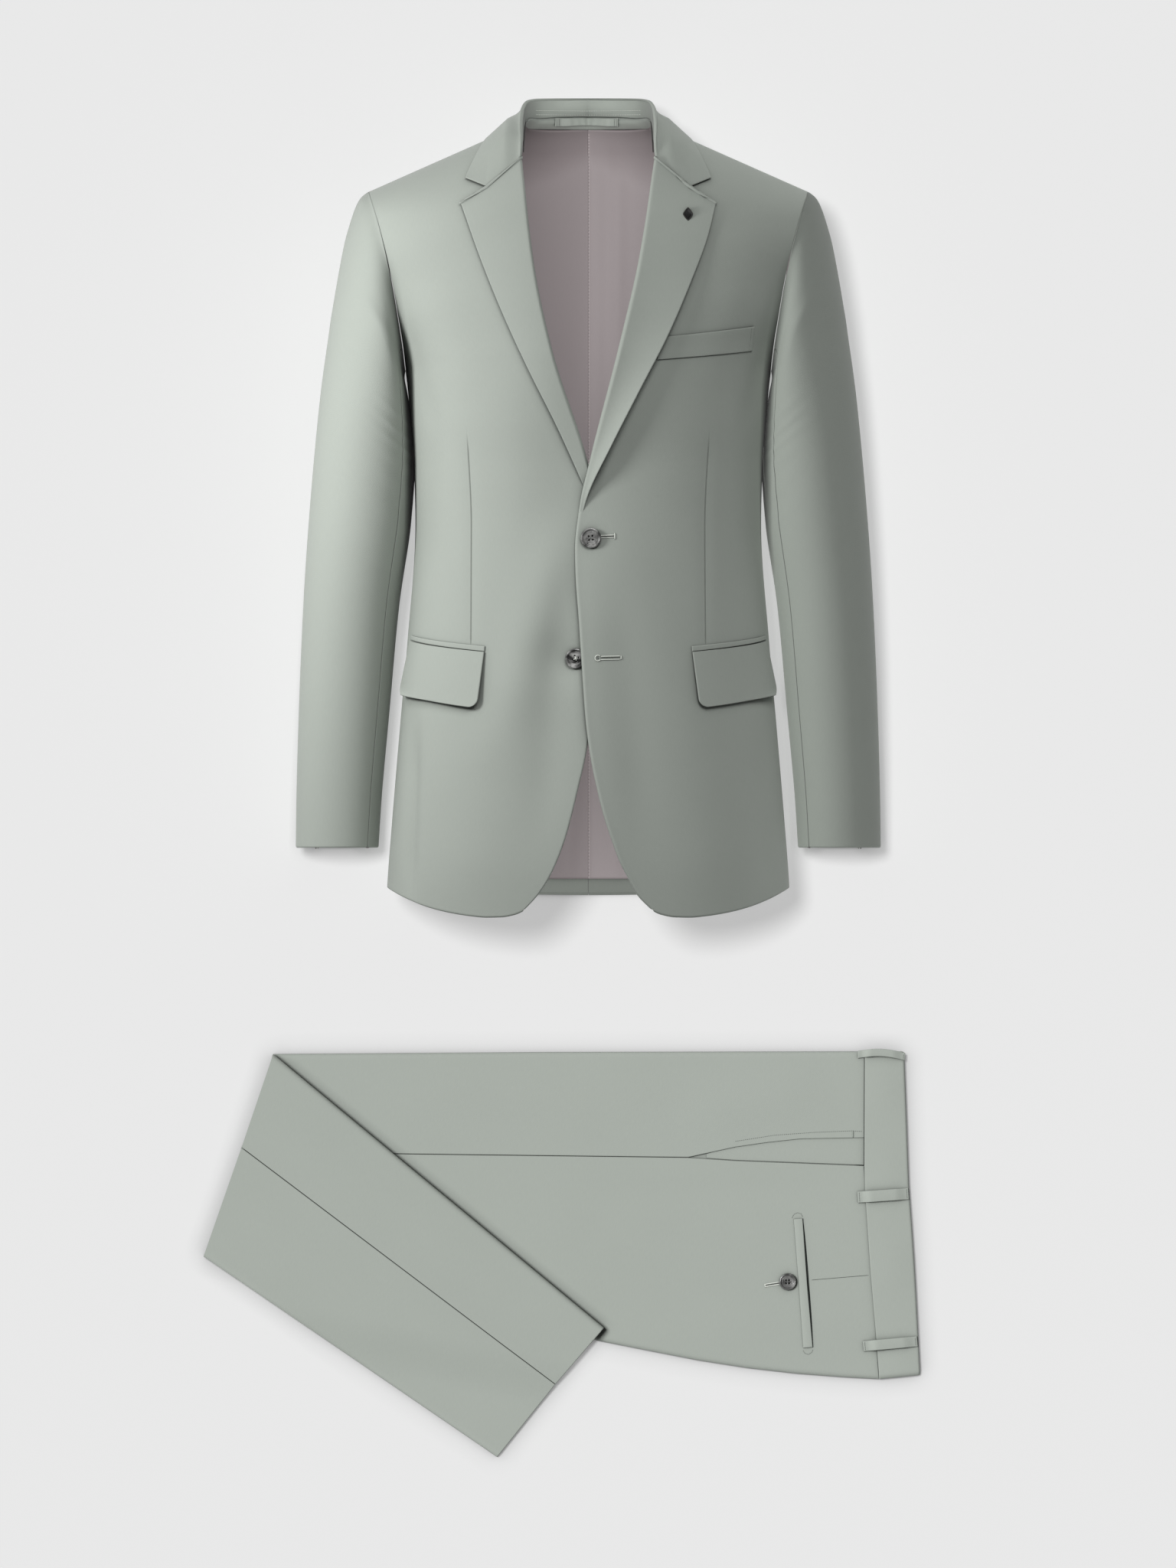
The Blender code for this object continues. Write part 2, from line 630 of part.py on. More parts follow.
def button(name, centre, diameter, offset_x=0.0):
    """A four-hole button with a raised rim, turned from its profile."""
    radius = diameter / 2
    profile = [(0.0, 2.2), (0.62 * radius, 2.2), (0.74 * radius, 3.2), (0.9 * radius, 3.4),
               (radius, 2.5), (radius, 1.2), (0.7 * radius, 0.0), (0.0, 0.0)]
    bm = bmesh.new()
    points = [bm.verts.new((x, 0, z)) for x, z in profile]
    for a, b in zip(points, points[1:]):
        bm.edges.new((a, b))
    piece = new_object(name, bm, "horn")
    piece.location = Vector((centre[0] + offset_x, centre[1], centre[2])) * MM
    turn = piece.modifiers.new("turn", "SCREW")
    turn.steps = turn.render_steps = 20
    turn.use_merge_vertices = True
    turn.merge_threshold = 0.00001
    for i in range(4):
        angle = math.radians(45 + 90 * i)
        bpy.ops.mesh.primitive_cylinder_add(vertices=6, radius=1.1 * MM, depth=10 * MM)
        cutter = bpy.context.object
        cutter.name = f"{name}_hole_cutter_{i + 1}"
        cutter.location = piece.location + Vector((math.cos(angle), math.sin(angle), 0)) * 0.26 * radius * MM
        cutter.hide_render = True
        cutter.display_type = "WIRE"
        for collection in list(cutter.users_collection):
            collection.objects.unlink(cutter)
        cutter_collection.objects.link(cutter)
        hole = piece.modifiers.new(f"hole_{i + 1}", "BOOLEAN")
        hole.operation = "DIFFERENCE"
        hole.solver = "EXACT"
        hole.object = cutter


def lapel_pin():
    """A small plain lozenge pin on the left lapel."""
    bm = bmesh.new()
    bmesh.ops.create_cone(bm, cap_ends=True, segments=4, radius1=6.5, radius2=4.5, depth=1.8)
    centre = raised(front_skin, 96.0, 542.4, 2 * LAY_GAP + SUITING + 2.4 + 0.9)
    for vertex in bm.verts:
        vertex.co = Vector((vertex.co.x * 0.8, vertex.co.y, vertex.co.z)) + centre
    new_object("lapel_pin", bm, "pin", JACKET_X)


# Trousers

def line_points(points):
    """Function that gives the point at a share of the way along a run of points."""
    lengths = [0.0]
    for a, b in zip(points, points[1:]):
        lengths.append(lengths[-1] + (Vector(b) - Vector(a)).length)

    def at(share):
        target = share * lengths[-1]
        index = max(i for i, length in enumerate(lengths[:-1]) if length <= target + 1e-9)
        part = (target - lengths[index]) / (lengths[index + 1] - lengths[index])
        return Vector(points[index]).lerp(Vector(points[index + 1]), part)
    return at


TOP_CREASE = line_points([FOLD_TOP, (-12.2, -264.9), (291.0, -264.2)])
SIDE_SEAM = line_points([FOLD_SEAM, (-163.2, -363.3), (122.5, -366.8), (167.6, -369.8), (290.0, -374.6)])
SEAT_LINE = line_points([FOLD_BOTTOM, (31.5, -543.2), (115.0, -561.7), (205.9, -572.0), (305.0, -581.0)])
FRONT_LOWER = line_points([FOLD_SEAM, (-163.2, -363.3), (122.5, -366.8), (167.6, -357.0),
                           (198.0, -352.6), (231.3, -349.0), (290.0, -347.9)])


def crease_drop(distance):
    """How far a flat panel's face has turned down at a distance from its crease."""
    share = max(0.0, 1 - distance / CREASE_RADIUS)
    return CREASE_RADIUS * (1 - math.sqrt(1 - min(1.0, share) ** 2)) * 0.9


def flat_panel(name, low, high, columns, rows, top, creased=(), wall=SUITING, floor=None):
    """A panel of the flat trousers between two lines, turned down along its creased sides."""
    grid = []
    for v in rows:
        row = []
        for u in columns:
            a, b = low(u), high(u)
            place = a.lerp(b, v)
            span = (b - a).length
            drop = 0.0
            if "low" in creased:
                drop += crease_drop(v * span)
            if "high" in creased:
                drop += crease_drop((1 - v) * span)
            base = floor(place) if floor else 0.0
            row.append(Vector((place.x, place.y, base + top - drop)))
        grid.append(row)
    sheet(name, grid, wall)


def plan_between(lines, columns, shares):
    """Plan grid whose rows run between each line and the next, at the given shares of the way."""
    rows = []
    for low, high in zip(lines, lines[1:]):
        rows += [[low(u).lerp(high(u), v) for u in columns] for v in shares]
    rows.append([lines[-1](u) for u in columns])
    return rows


def layered_body(name, plan, height, floor=None):
    """The hidden layers of a flat stretch as one solid, with a groove round its edge."""
    levels = [(0.0, 0.5), (1.3, 0.0), (1.5, 1.1), (1.7, 0.0), (3.1, 0.0), (3.3, 2.7),
              (height - 1.7, 3.4), (height, 9.0)]
    last_row, last_column = len(plan) - 1, len(plan[0]) - 1
    rim = [(0, j) for j in range(last_column)] + [(i, last_column) for i in range(last_row)]
    rim += [(last_row, j) for j in range(last_column, 0, -1)] + [(i, 0) for i in range(last_row, 0, -1)]

    def vertex(bm, i, j, level):
        z, inset = level
        place = plan[i][j].copy()
        if (i, j) in rim:
            inner = plan[min(max(i, 1), last_row - 1)][min(max(j, 1), last_column - 1)]
            place += (inner - place).normalized() * inset
        base = floor(plan[i][j]) if floor else 0.0
        return bm.verts.new((place.x, place.y, base + z))

    bm = bmesh.new()
    covers = []
    for level in (levels[0], levels[-1]):
        covers.append([[vertex(bm, i, j, level) for j in range(last_column + 1)] for i in range(last_row + 1)])
    loops = [[covers[0][i][j] for i, j in rim]]
    for level in levels[1:-1]:
        loops.append([vertex(bm, i, j, level) for i, j in rim])
    loops.append([covers[1][i][j] for i, j in rim])
    for cover in covers:
        for i in range(last_row):
            for j in range(last_column):
                bm.faces.new([cover[i][j], cover[i][j + 1], cover[i + 1][j + 1], cover[i + 1][j]])
    for below, above in zip(loops, loops[1:]):
        for k in range(len(rim)):
            after = (k + 1) % len(rim)
            bm.faces.new([below[k], below[after], above[after], above[k]])
    bmesh.ops.recalc_face_normals(bm, faces=bm.faces)
    new_object(name, bm, "suiting")


def stack_floor(place):
    """What the folded leg lies on: the flat part, and beyond its lower edge the surface itself."""
    start, end = Vector(FOLD_BOTTOM), Vector((31.5, -543.2))
    along = (end - start).normalized()
    beyond = (place - start).dot(Vector((along.y, -along.x)))
    return (STACK_TOP_Z + LAY_GAP) * (1 - smoothstep(24, 75, beyond))


def trousers():
    """The flat part, the leg folded back over it, and what is sewn to the waist."""
    columns = [0, 0.08, 0.18, 0.3, 0.42, 0.54, 0.66, 0.76, 0.85, 0.93, 1]
    crease_rows = [0.0, 0.02, 0.06, 0.3, 0.65, 1.0]
    down = crease_rows
    up = [1 - v for v in reversed(crease_rows)]
    gap = SEAM_GAP / 2

    def lowered(line, shift):
        return lambda share: line(share) + Vector((0, shift))

    flat_panel("trouser_front", lowered(FRONT_LOWER, gap), TOP_CREASE, columns, up, STACK_TOP_Z, ["high"])
    flat_panel("trouser_back", SEAT_LINE, lowered(SIDE_SEAM, -gap), columns, down, STACK_TOP_Z, ["low"])
    facing_low = line_points([(140.0, -366.9), (167.6, -368.9), (289.0, -373.7)])
    facing_high = line_points([(140.0, -364.4), (167.6, -358.6), (198.0, -354.2), (231.3, -350.6), (289.0, -349.5)])
    flat_panel("front_pocket_facing", facing_low, facing_high, [0, 0.25, 0.5, 0.75, 1], [0, 1],
               STACK_TOP_Z - 0.3, wall=1.0)
    layered_body("trouser_hidden_layers", plan_between([SEAT_LINE, SIDE_SEAM, TOP_CREASE], columns, [0, 0.5]),
                 STACK_TOP_Z - SUITING - 1.5 * LAY_GAP)

    lower_edge = line_points([FOLD_BOTTOM, HEM_BOTTOM])
    upper_edge = line_points([FOLD_TOP, HEM_TOP])
    seam = line_points([FOLD_SEAM, HEM_SEAM])
    leg_top = FOLDED_TOP_Z - STACK_TOP_Z - LAY_GAP
    leg_columns = [i / 12 for i in range(13)]

    def pulled(line, direction):
        return lambda share: line(share) + Vector(direction) * gap

    flat_panel("folded_leg_upper", pulled(seam, (0.55, 0.83)), upper_edge, leg_columns, up, leg_top,
               ["high"], floor=stack_floor)
    flat_panel("folded_leg_lower", lower_edge, pulled(seam, (-0.55, -0.83)), leg_columns, down, leg_top,
               ["low"], floor=stack_floor)
    layered_body("folded_leg_hidden_layers", plan_between([lower_edge, seam, upper_edge], leg_columns, [0, 0.3, 0.65]),
                 leg_top - SUITING - 2 * LAY_GAP, floor=stack_floor)
    waist()


def waist():
    """Waistband, belt loops, back pocket and its button."""
    band_top = 11.2
    inner_edge = line_points([(306.9, -581.2), (302.9, -529.8), (298.1, -473.6), (293.2, -400.0),
                              (292.4, -374.8), (292.9, -264.2)])
    outer_edge = line_points([(346.9, -577.2), (341.0, -466.2), (335.8, -392.6), (331.6, -274.5), (331.0, -264.2)])
    rows = [0, 0.1, 0.5, 0.9, 1]
    grid = []
    for share in [0, 0.012, 0.04, 0.2, 0.4, 0.6, 0.8, 0.96, 0.988, 1]:
        low, high = inner_edge(share), outer_edge(share)
        end_drop = crease_drop(min(share, 1 - share) * 315)
        row = []
        for v in rows:
            place = low.lerp(high, v)
            row.append(Vector((place.x, place.y, band_top - end_drop - (0.8 if v in (0, 1) else 0))))
        grid.append(row)
    sheet("waistband", grid, 3.2)

    def inner_side(share):
        return inner_edge(share) + Vector((0.8, 0))

    layered_body("waistband_hidden_layers",
                 plan_between([inner_side, outer_edge], [0.012, 0.25, 0.5, 0.75, 0.988], [0, 0.5]),
                 band_top - 3.2 - LAY_GAP - 0.5)
    loops = [
        ("belt_loop_front", (286.5, -270.0), (332.6, -274.4), 9.0),
        ("belt_loop_side", (286.0, -405.4), (335.5, -402.0), 11.5),
        ("belt_loop_back", (291.4, -549.0), (344.2, -544.2), 10.6),
    ]
    for name, start, end, width in loops:
        belt_loop(name, Vector(start), Vector(end), width, band_top)
    back_pocket(STACK_TOP_Z)


def belt_loop(name, start, end, width, band_top):
    """A belt loop: a narrow strap sewn below the waistband and at its top edge."""
    along = (end - start).normalized()
    across = Vector((-along.y, along.x))
    length = (end - start).length
    grid = []
    for share, lift in [(0, 1.9), (0.1, 2.0), (0.16, 3.2), (0.5, 4.2), (0.84, 3.2), (0.95, 2.6), (1, 1.9)]:
        place = start + along * length * share
        base = STACK_TOP_Z if share < 0.13 else band_top
        row = [Vector((p.x, p.y, base + lift)) for p in (place - across * width / 2, place + across * width / 2)]
        grid.append(row)
    sheet(name, grid, SUITING, flip=True)


def back_pocket(top):
    """The back pocket's single jet, its button and the cloth round it."""
    low, high = Vector((238.0, -550.5)), Vector((228.5, -425.9))
    along = (high - low).normalized()
    across = Vector((along.y, -along.x))
    grid = []
    for share in [0, 0.33, 0.67, 1]:
        place = low.lerp(high, share)
        row = [Vector((p.x, p.y, top + LAY_GAP + 1.2)) for p in (place - across * 4.6, place + across * 4.6)]
        grid.append(row)
    sheet("back_pocket_jet", grid, 1.2)


# Assembly

for thing in list(bpy.data.objects):
    bpy.data.objects.remove(thing, do_unlink=True)
suit_collection = bpy.data.collections.new("two_piece_suit")
cutter_collection = bpy.data.collections.new("cutters")
for collection in (suit_collection, cutter_collection):
    bpy.context.scene.collection.children.link(collection)

front_panel("jacket_front_left", 1, LEFT_FRONT_EDGE, dip=False)
front_panel("jacket_front_right", -1, RIGHT_FRONT_EDGE, dip=True)
for word, side in (("left", 1), ("right", -1)):
    back_panel(f"jacket_back_{word}", side)
    side_panel(f"jacket_side_{word}", side)
    back_lining(f"back_lining_{word}", side)
    sleeve(f"sleeve_top_{word}", side, HIND_SLEEVE_SEAM, FRONT_SLEEVE_SEAM, 11)
    sleeve(f"sleeve_under_{word}", side, FRONT_SLEEVE_SEAM, 360 + HIND_SLEEVE_SEAM, 9)
    flap(f"pocket_flap_{word}", side)
    strip_on_front(f"pocket_jet_{word}", side, ((100.3, 121.6), (171.3, 133.4)),
                   ((99.6, 126.8), (170.6, 137.2)), 7, 1.0)
back_neck_facing()
lapel("lapel_left", 1, LEFT_FRONT_EDGE, LEFT_LAPEL_EDGE, dip=False)
lapel("lapel_right", -1, RIGHT_FRONT_EDGE, RIGHT_LAPEL_EDGE, dip=True)
collar_fall()
collar_stand()
hanger_loop()
strip_on_front("breast_welt", 1, ((71.6, 402.6), (158.1, 410.7)), ((78.6, 424.9), (160.4, 434.4)), 6, 1.2)
button("button_front_upper", (2.5, 230.6, 199.7), FRONT_BUTTON, JACKET_X)
button("button_front_lower", (-12.1, 114.7, 195.5), FRONT_BUTTON, JACKET_X)
lapel_pin()
trousers()
button("back_pocket_button", (218.6, -486.9, STACK_TOP_Z + LAY_GAP), POCKET_BUTTON)
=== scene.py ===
"""A two-piece suit: a sage wool jacket on its back, filled out and hollow, and its trousers, folded flat."""

import math
from collections import namedtuple

import bpy
import numpy as np
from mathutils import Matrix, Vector


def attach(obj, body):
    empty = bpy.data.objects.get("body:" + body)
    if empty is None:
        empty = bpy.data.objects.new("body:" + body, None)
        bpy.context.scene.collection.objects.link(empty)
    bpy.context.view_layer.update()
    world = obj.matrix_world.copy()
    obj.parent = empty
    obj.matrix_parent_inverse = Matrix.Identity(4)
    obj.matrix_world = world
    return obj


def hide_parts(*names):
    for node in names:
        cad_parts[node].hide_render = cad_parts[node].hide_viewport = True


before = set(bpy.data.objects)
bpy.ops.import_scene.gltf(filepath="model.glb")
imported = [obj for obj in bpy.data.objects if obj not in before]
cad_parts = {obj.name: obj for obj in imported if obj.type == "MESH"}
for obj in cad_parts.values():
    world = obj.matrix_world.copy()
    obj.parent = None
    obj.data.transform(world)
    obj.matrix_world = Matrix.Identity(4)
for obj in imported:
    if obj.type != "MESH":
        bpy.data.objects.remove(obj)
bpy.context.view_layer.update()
MM = 0.001
SIDES = (("left", 1), ("right", -1))


# Studio. A plain pale floor, evenly glowing but for painted shade that darkens it next to the pieces, a broad
# key light from the left that falls on the suit, a soft light from overhead that gives the floor its short
# shadows, a pale sky, and a camera straight above with a very long lens.

PICTURE_WIDTH, PICTURE_HEIGHT = 1536, 2048      # pixels
PIXEL = 0.74 * MM                               # one pixel on the surface
PICTURE_CENTRE_X, PICTURE_CENTRE_Y = 733.5, 1016.0   # the row frame's origin, in pixels
LENS, SENSOR = 1000.0, 36.0
FLOOR_SIDE, FLOOR_DEPTH, FLOOR_PAINTED_SHADE_REACH = 16.0, 0.0004, 0.022
FLOOR_GLOW, FLOOR_PAINT = 0.48, 0.50
KEY_LIGHT_PLACE, KEY_LIGHT_RADIUS = (-0.706, 0.43, 0.60), 0.13
SKY_STRENGTH, SEEN_SKY = 0.07, 0.80     # as light on the suit, and as the camera sees it

suit_pieces = {}
for part_of_suit in ("jacket", "jacket_sleeves", "jacket_back", "jacket_lining", "jacket_loop", "trousers",
                     "stage"):
    collection = bpy.data.collections.new(part_of_suit + "_pieces")
    bpy.context.scene.collection.children.link(collection)
    suit_pieces[part_of_suit] = collection

camera_data = bpy.data.cameras.new("overhead_camera")
camera = bpy.data.objects.new("overhead_camera", camera_data)
bpy.context.scene.collection.objects.link(camera)
camera_data.lens = LENS
camera_data.sensor_width = SENSOR
camera_distance = PICTURE_HEIGHT * PIXEL / SENSOR * LENS
camera_data.clip_start, camera_data.clip_end = 1.0, 100.0
camera.location = ((PICTURE_WIDTH / 2 - PICTURE_CENTRE_X) * PIXEL,
                   (PICTURE_CENTRE_Y - PICTURE_HEIGHT / 2) * PIXEL, camera_distance)
bpy.context.scene.camera = camera
bpy.context.scene.view_settings.view_transform = "Standard"


def new_node(tree, kind, values=(), **settings):
    """A shader node with its own settings, and values or other nodes' sockets on its named inputs."""
    node = tree.nodes.new("ShaderNode" + kind)
    for name, setting in settings.items():
        setattr(node, name, setting)
    fill_inputs(tree, node, values)
    return node


def fill_inputs(tree, node, values):
    """Sets a node's inputs, by name or number, to values or links them to other nodes' sockets."""
    for name, value in dict(values).items():
        if isinstance(value, bpy.types.NodeSocket):
            tree.links.new(value, node.inputs[name])
        else:
            node.inputs[name].default_value = value


sky = bpy.data.worlds.new("pale_sky")
sky.use_nodes = True
ray_kind = new_node(sky.node_tree, "LightPath")
sky_value = new_node(sky.node_tree, "MapRange", {"To Min": SKY_STRENGTH, "To Max": SEEN_SKY,
                                                 "Value": ray_kind.outputs["Is Camera Ray"]})
fill_inputs(sky.node_tree, sky.node_tree.nodes["Background"],
            {"Color": (0.98, 1.0, 1.0, 1.0), "Strength": sky_value.outputs["Result"]})
bpy.context.scene.world = sky


def studio_light(name, kind, strength, receivers, blockers):
    """A light that falls on some of the pieces alone, as where garments are lit one by one."""
    light = bpy.data.objects.new(name, bpy.data.lights.new(name, kind))
    light.data.energy = strength
    bpy.context.scene.collection.objects.link(light)
    light.light_linking.receiver_collection = suit_pieces[receivers]
    if blockers:
        light.light_linking.blocker_collection = suit_pieces[blockers]
    return light


def distant_light(name, strength, receivers, width, tilt, heading, blockers=None):
    """A light whose source is tilted from straight above towards a heading, in degrees from +X to +Y."""
    light = studio_light(name, "SUN", strength, receivers, blockers)
    light.data.angle = math.radians(width)
    heading, tilt = math.radians(heading), math.radians(tilt)
    source = Vector((math.cos(heading) * math.sin(tilt), math.sin(heading) * math.sin(tilt), math.cos(tilt)))
    light.rotation_euler = source.to_track_quat("Z", "Y").to_euler()


for garment, strength, blockers in (("jacket", 22.0, None), ("jacket_sleeves", 19.5, "jacket_sleeves")):
    key_light = studio_light(garment + "_key_light", "POINT", strength, garment, blockers)
    key_light.location, key_light.data.shadow_soft_size = KEY_LIGHT_PLACE, KEY_LIGHT_RADIUS
distant_light("sleeve_fill_light", 1.25, "jacket_sleeves", 30, 10, 180, "jacket_sleeves")
distant_light("jacket_fill_light", 1.5, "jacket", 30, 36, 75)
distant_light("jacket_lining_light", 1.75, "jacket_lining", 22, 7, 215, "jacket_loop")
distant_light("jacket_back_light", 1.35, "jacket_back", 22, 7, 215, "jacket_loop")
distant_light("lining_key_light", 1.0, "jacket_lining", 26, 5, 150)
distant_light("trouser_key_light", 3.42, "trousers", 28, 32, 162)
distant_light("floor_light", 1.9, "stage", 10, 11, 140)

floor_mesh = bpy.data.meshes.new("floor")
half_floor = FLOOR_SIDE / 2
floor_mesh.from_pydata([(x * half_floor, y * half_floor, -FLOOR_DEPTH)
                        for x, y in ((-1, -1), (1, -1), (1, 1), (-1, 1))], [], [(0, 1, 2, 3)])
floor = bpy.data.objects.new("floor", floor_mesh)
suit_pieces["stage"].objects.link(floor)
floor_paint = bpy.data.materials.new("floor_paint")
floor_paint.use_nodes = True
tree = floor_paint.node_tree
tree.nodes.clear()
paint = new_node(tree, "BsdfDiffuse", {"Color": (FLOOR_PAINT, FLOOR_PAINT, FLOOR_PAINT, 1.0)})
# Painted shade: ambient occlusion darkens the floor's glow where the pieces stand close over it.
floor_painted_shade = new_node(tree, "AmbientOcclusion", {"Distance": FLOOR_PAINTED_SHADE_REACH}, samples=8)
glow = new_node(tree, "Emission", {"Strength": FLOOR_GLOW, "Color": floor_painted_shade.outputs["Color"]})
both = new_node(tree, "AddShader", {0: paint.outputs[0], 1: glow.outputs[0]})
new_node(tree, "OutputMaterial", {"Surface": both.outputs[0]})
floor_mesh.materials.append(floor_paint)


# Fronts. Two panels of fine sage wool, canvassed, so that they keep their own round form. Each is cut away
# at the hem, turned in along its front edge and shaped by one long dart. The wearer's left front laps over
# the right.

JACKET_X = 25.8
SIDE_Z = 95.0
SHOULDER_TIP_X, SHOULDER_TIP_Y = 212.0, 565.0
SHOULDER_SLOPE = 0.4428
FRONT_ROUND, FRONT_ROOF = 2.3, 85.0
BACK_ROUND, BACK_ROOF = 2.0, 70.0
UNDERARM_Y = 392.0
SEAM = 0.3                  # between the outer faces of two sewn panels
CLOTH = 1.5                 # wall of a canvassed panel
TURN_RADIUS = 1.9           # of a turned edge

BodySection = namedtuple("BodySection", "y half_width front_z back_corner")
BODY = [BodySection(*row) for row in (
    (-140, 195.5, 206, 62), (-103, 193.8, 206, 62), (-42, 189.2, 205, 62), (56, 181.0, 204, 62),
    (130, 174.5, 202, 62), (245, 166.7, 199, 62), (298, 168.0, 201, 62), (345, 171.6, 206, 64),
    (392, 176.2, 210, 67), (413, 182.5, 211, 71), (448, 200.0, 211, 80), (487, 220.0, 209, 88),
    (532, 254.0, 203, 90), (565, 300.0, 195, 90), (640, 320.0, 168, 90),
)]
ArmholePoint = namedtuple("ArmholePoint", "y x")
ARMHOLE = [ArmholePoint(*row) for row in (
    (392, 176.0), (413, 178.6), (448, 184.1), (487, 191.1), (532, 201.9), (565, 212.0),
)]
EdgePoint = namedtuple("EdgePoint", "y x")
LEFT_FRONT_EDGE = [EdgePoint(*row) for row in (
    (-127.5, 61.5), (-113.2, 47.5), (-97.0, 38.6), (-80.7, 30.2), (-58.5, 22.0), (-36.3, 14.8),
    (-13.5, 9.0), (19.2, 2.2), (55.0, -2.6), (107.3, -6.3), (150.2, -9.1), (195.4, -12.5), (220.5, -13.1),
    (261.2, -8.6), (304.9, 1.2), (418.4, 30.1), (501.7, 49.0), (577.6, 60.4), (640.0, 65.3),
)]
RIGHT_FRONT_EDGE = [EdgePoint(*row) for row in (
    (-127.5, 62.0), (-113.2, 48.8), (-95.8, 37.4), (-80.7, 30.2), (-59.0, 22.2), (-36.0, 15.8), (-5.9, 8.6),
    (19.0, 2.8), (55.0, -3.0), (107.3, -9.0), (195.4, -13.0), (245.0, -12.5), (308.6, 1.75), (410.8, 34.4),
    (494.0, 52.0), (577.6, 61.5), (640.0, 65.3),
)]
HemPoint = namedtuple("HemPoint", "x y")
FRONT_HEM = [HemPoint(*row) for row in (
    (61.0, -127.8), (71.0, -132.0), (84.0, -134.3), (98.0, -134.6), (114.0, -133.2), (135.0, -129.8),
    (154.0, -125.0), (175.0, -117.0), (190.0, -109.0), (195.5, -105.5),
)]
DartPoint = namedtuple("DartPoint", "y x")
DART = [DartPoint(129.5, 113.1), DartPoint(240.5, 112.4), DartPoint(338.9, 116.9)]
DART_TOP_Y = 338.9

# Soft drape of the fronts, each row a straight ridge or, with a negative height, a trough.
Drape = namedtuple("Drape", "start_x start_y end_x end_y width height")
RIGHT_FRONT_DRAPE = [Drape(*row) for row in (
    (4, 215, 4, -130, 60, 5.8),
    (-22, 236, -84, 40, 26, 4.6),
    (-86, 40, -112, -110, 40, 2.2),
    (-26, 180, -42, -40, 20, -2.8),
    (-128, 330, -120, 180, 16, 0.9),
    (-148, 360, -158, 210, 11, -1.5),
    (-168, 40, -172, -105, 6.5, -4.2),
    (-150, 470, -120, 380, 26, 1.6),
    (-172, 430, -150, 340, 9, -1.2),
)]
LEFT_FRONT_DRAPE = [Drape(*row) for row in (
    (-8, 215, -2, -130, 50, 8.5),
    (22, 236, 92, 60, 34, 2.2),
    (92, 60, 116, -105, 40, 2.0),
    (30, 170, 52, -50, 20, -1.4),
    (134, 345, 128, 170, 17, 1.1),
    (150, 365, 160, 200, 11, -1.6),
    (162, 30, 172, -100, 9, -1.4),
    (146, 480, 128, 390, 24, 1.5),
    (172, 425, 152, 340, 9, -1.3),
)]


def through(rows, at, column):
    """Smooth values of a table's column at places along its first column, without overshoot."""
    keys = np.array([row[0] for row in rows], float)
    values = np.array([getattr(row, column) for row in rows], float)
    spans = np.diff(keys)
    slopes = np.diff(values) / spans
    product = slopes[:-1] * slopes[1:]
    total = slopes[:-1] + slopes[1:]
    inner = np.where(product > 0, 2 * product / np.where(product > 0, total, 1.0), 0.0)
    tangents = np.concatenate([slopes[:1], inner, slopes[-1:]])
    at = np.clip(np.asarray(at, float), keys[0], keys[-1])
    i = np.clip(np.searchsorted(keys, at, side="right") - 1, 0, len(spans) - 1)
    t = (at - keys[i]) / spans[i]
    return (values[i] * (2 * t**3 - 3 * t**2 + 1) + tangents[i] * spans[i] * (t**3 - 2 * t**2 + t)
            + values[i + 1] * (3 * t**2 - 2 * t**3) + tangents[i + 1] * spans[i] * (t**3 - t**2))


def blend(start, end, share):
    return start + (end - start) * share


def smoothstep(low, high, value):
    share = np.clip((value - low) / (high - low), 0.0, 1.0)
    return share * share * (3 - 2 * share)


def rounded(share, power):
    """Height, 1 to 0, of a rounded profile at a share of the way from its middle to its edge."""
    return np.maximum(0.0, 1.0 - np.minimum(1.0, np.abs(share)) ** power) ** (1.0 / power)


def stacked(x, y, z):
    return np.stack(np.broadcast_arrays(x, y, z), axis=-1).astype(float)


def ticks(length, step, clusters):
    """Shares from 0 to 1 along a length in mm, a step apart and closer about each cluster's share."""
    marks = list(np.linspace(0, 1, int(length / step) + 1))
    near = [0.0, 0.25, 0.6, 1.0, 1.5, 2.1, 2.9, 4.0]
    for centre in clusters:
        reach = near[-1] / length
        marks = [m for m in marks if abs(m - centre) > reach * 1.1]
        marks += [centre + side * d / length for d in near for side in (-1, 1)]
    return np.array(sorted({round(m, 6) for m in marks if -1e-9 <= m <= 1 + 1e-9}))


def shoulder_y(x):
    return SHOULDER_TIP_Y + SHOULDER_SLOPE * (SHOULDER_TIP_X - np.abs(x))


def front_skin(x, y):
    """Points of the fronts' outer face at places seen from above."""
    across = rounded(x / through(BODY, y, "half_width"), FRONT_ROUND)
    over = rounded(np.maximum(0.0, 1 - (shoulder_y(x) - y) / FRONT_ROOF), FRONT_ROUND)
    return stacked(x, y, SIDE_Z + (through(BODY, y, "front_z") - SIDE_Z) * across * over)


def drape_height(x, y, rows):
    """Total height of the soft ridges and troughs at places seen from above."""
    total = np.zeros(np.broadcast(x, y).shape)
    for row in rows:
        along = np.array([row.end_x - row.start_x, row.end_y - row.start_y])
        length = np.hypot(*along)
        share = ((x - row.start_x) * along[0] + (y - row.start_y) * along[1]) / length**2
        aside = ((x - row.start_x) * along[1] - (y - row.start_y) * along[0]) / length
        ends = smoothstep(-0.25, 0.25, share) * (1 - smoothstep(0.75, 1.25, share))
        total += row.height * np.exp(-((aside / row.width) ** 2)) * ends
    return total


def grid_normals(points):
    """Unit normals of a grid of points, column direction crossed with row direction."""
    along_row = np.gradient(points, axis=1)
    along_column = np.gradient(points, axis=0)
    normal = np.cross(along_row, along_column)
    return normal / np.maximum(np.linalg.norm(normal, axis=-1, keepdims=True), 1e-9)


def lengths_along(points, axis):
    """Running length along a grid's rows (axis 1) or columns (axis 0)."""
    steps = np.linalg.norm(np.diff(points, axis=axis), axis=-1)
    zero = np.zeros_like(np.take(steps, [0], axis=axis))
    return np.concatenate([zero, np.cumsum(steps, axis=axis)], axis=axis)


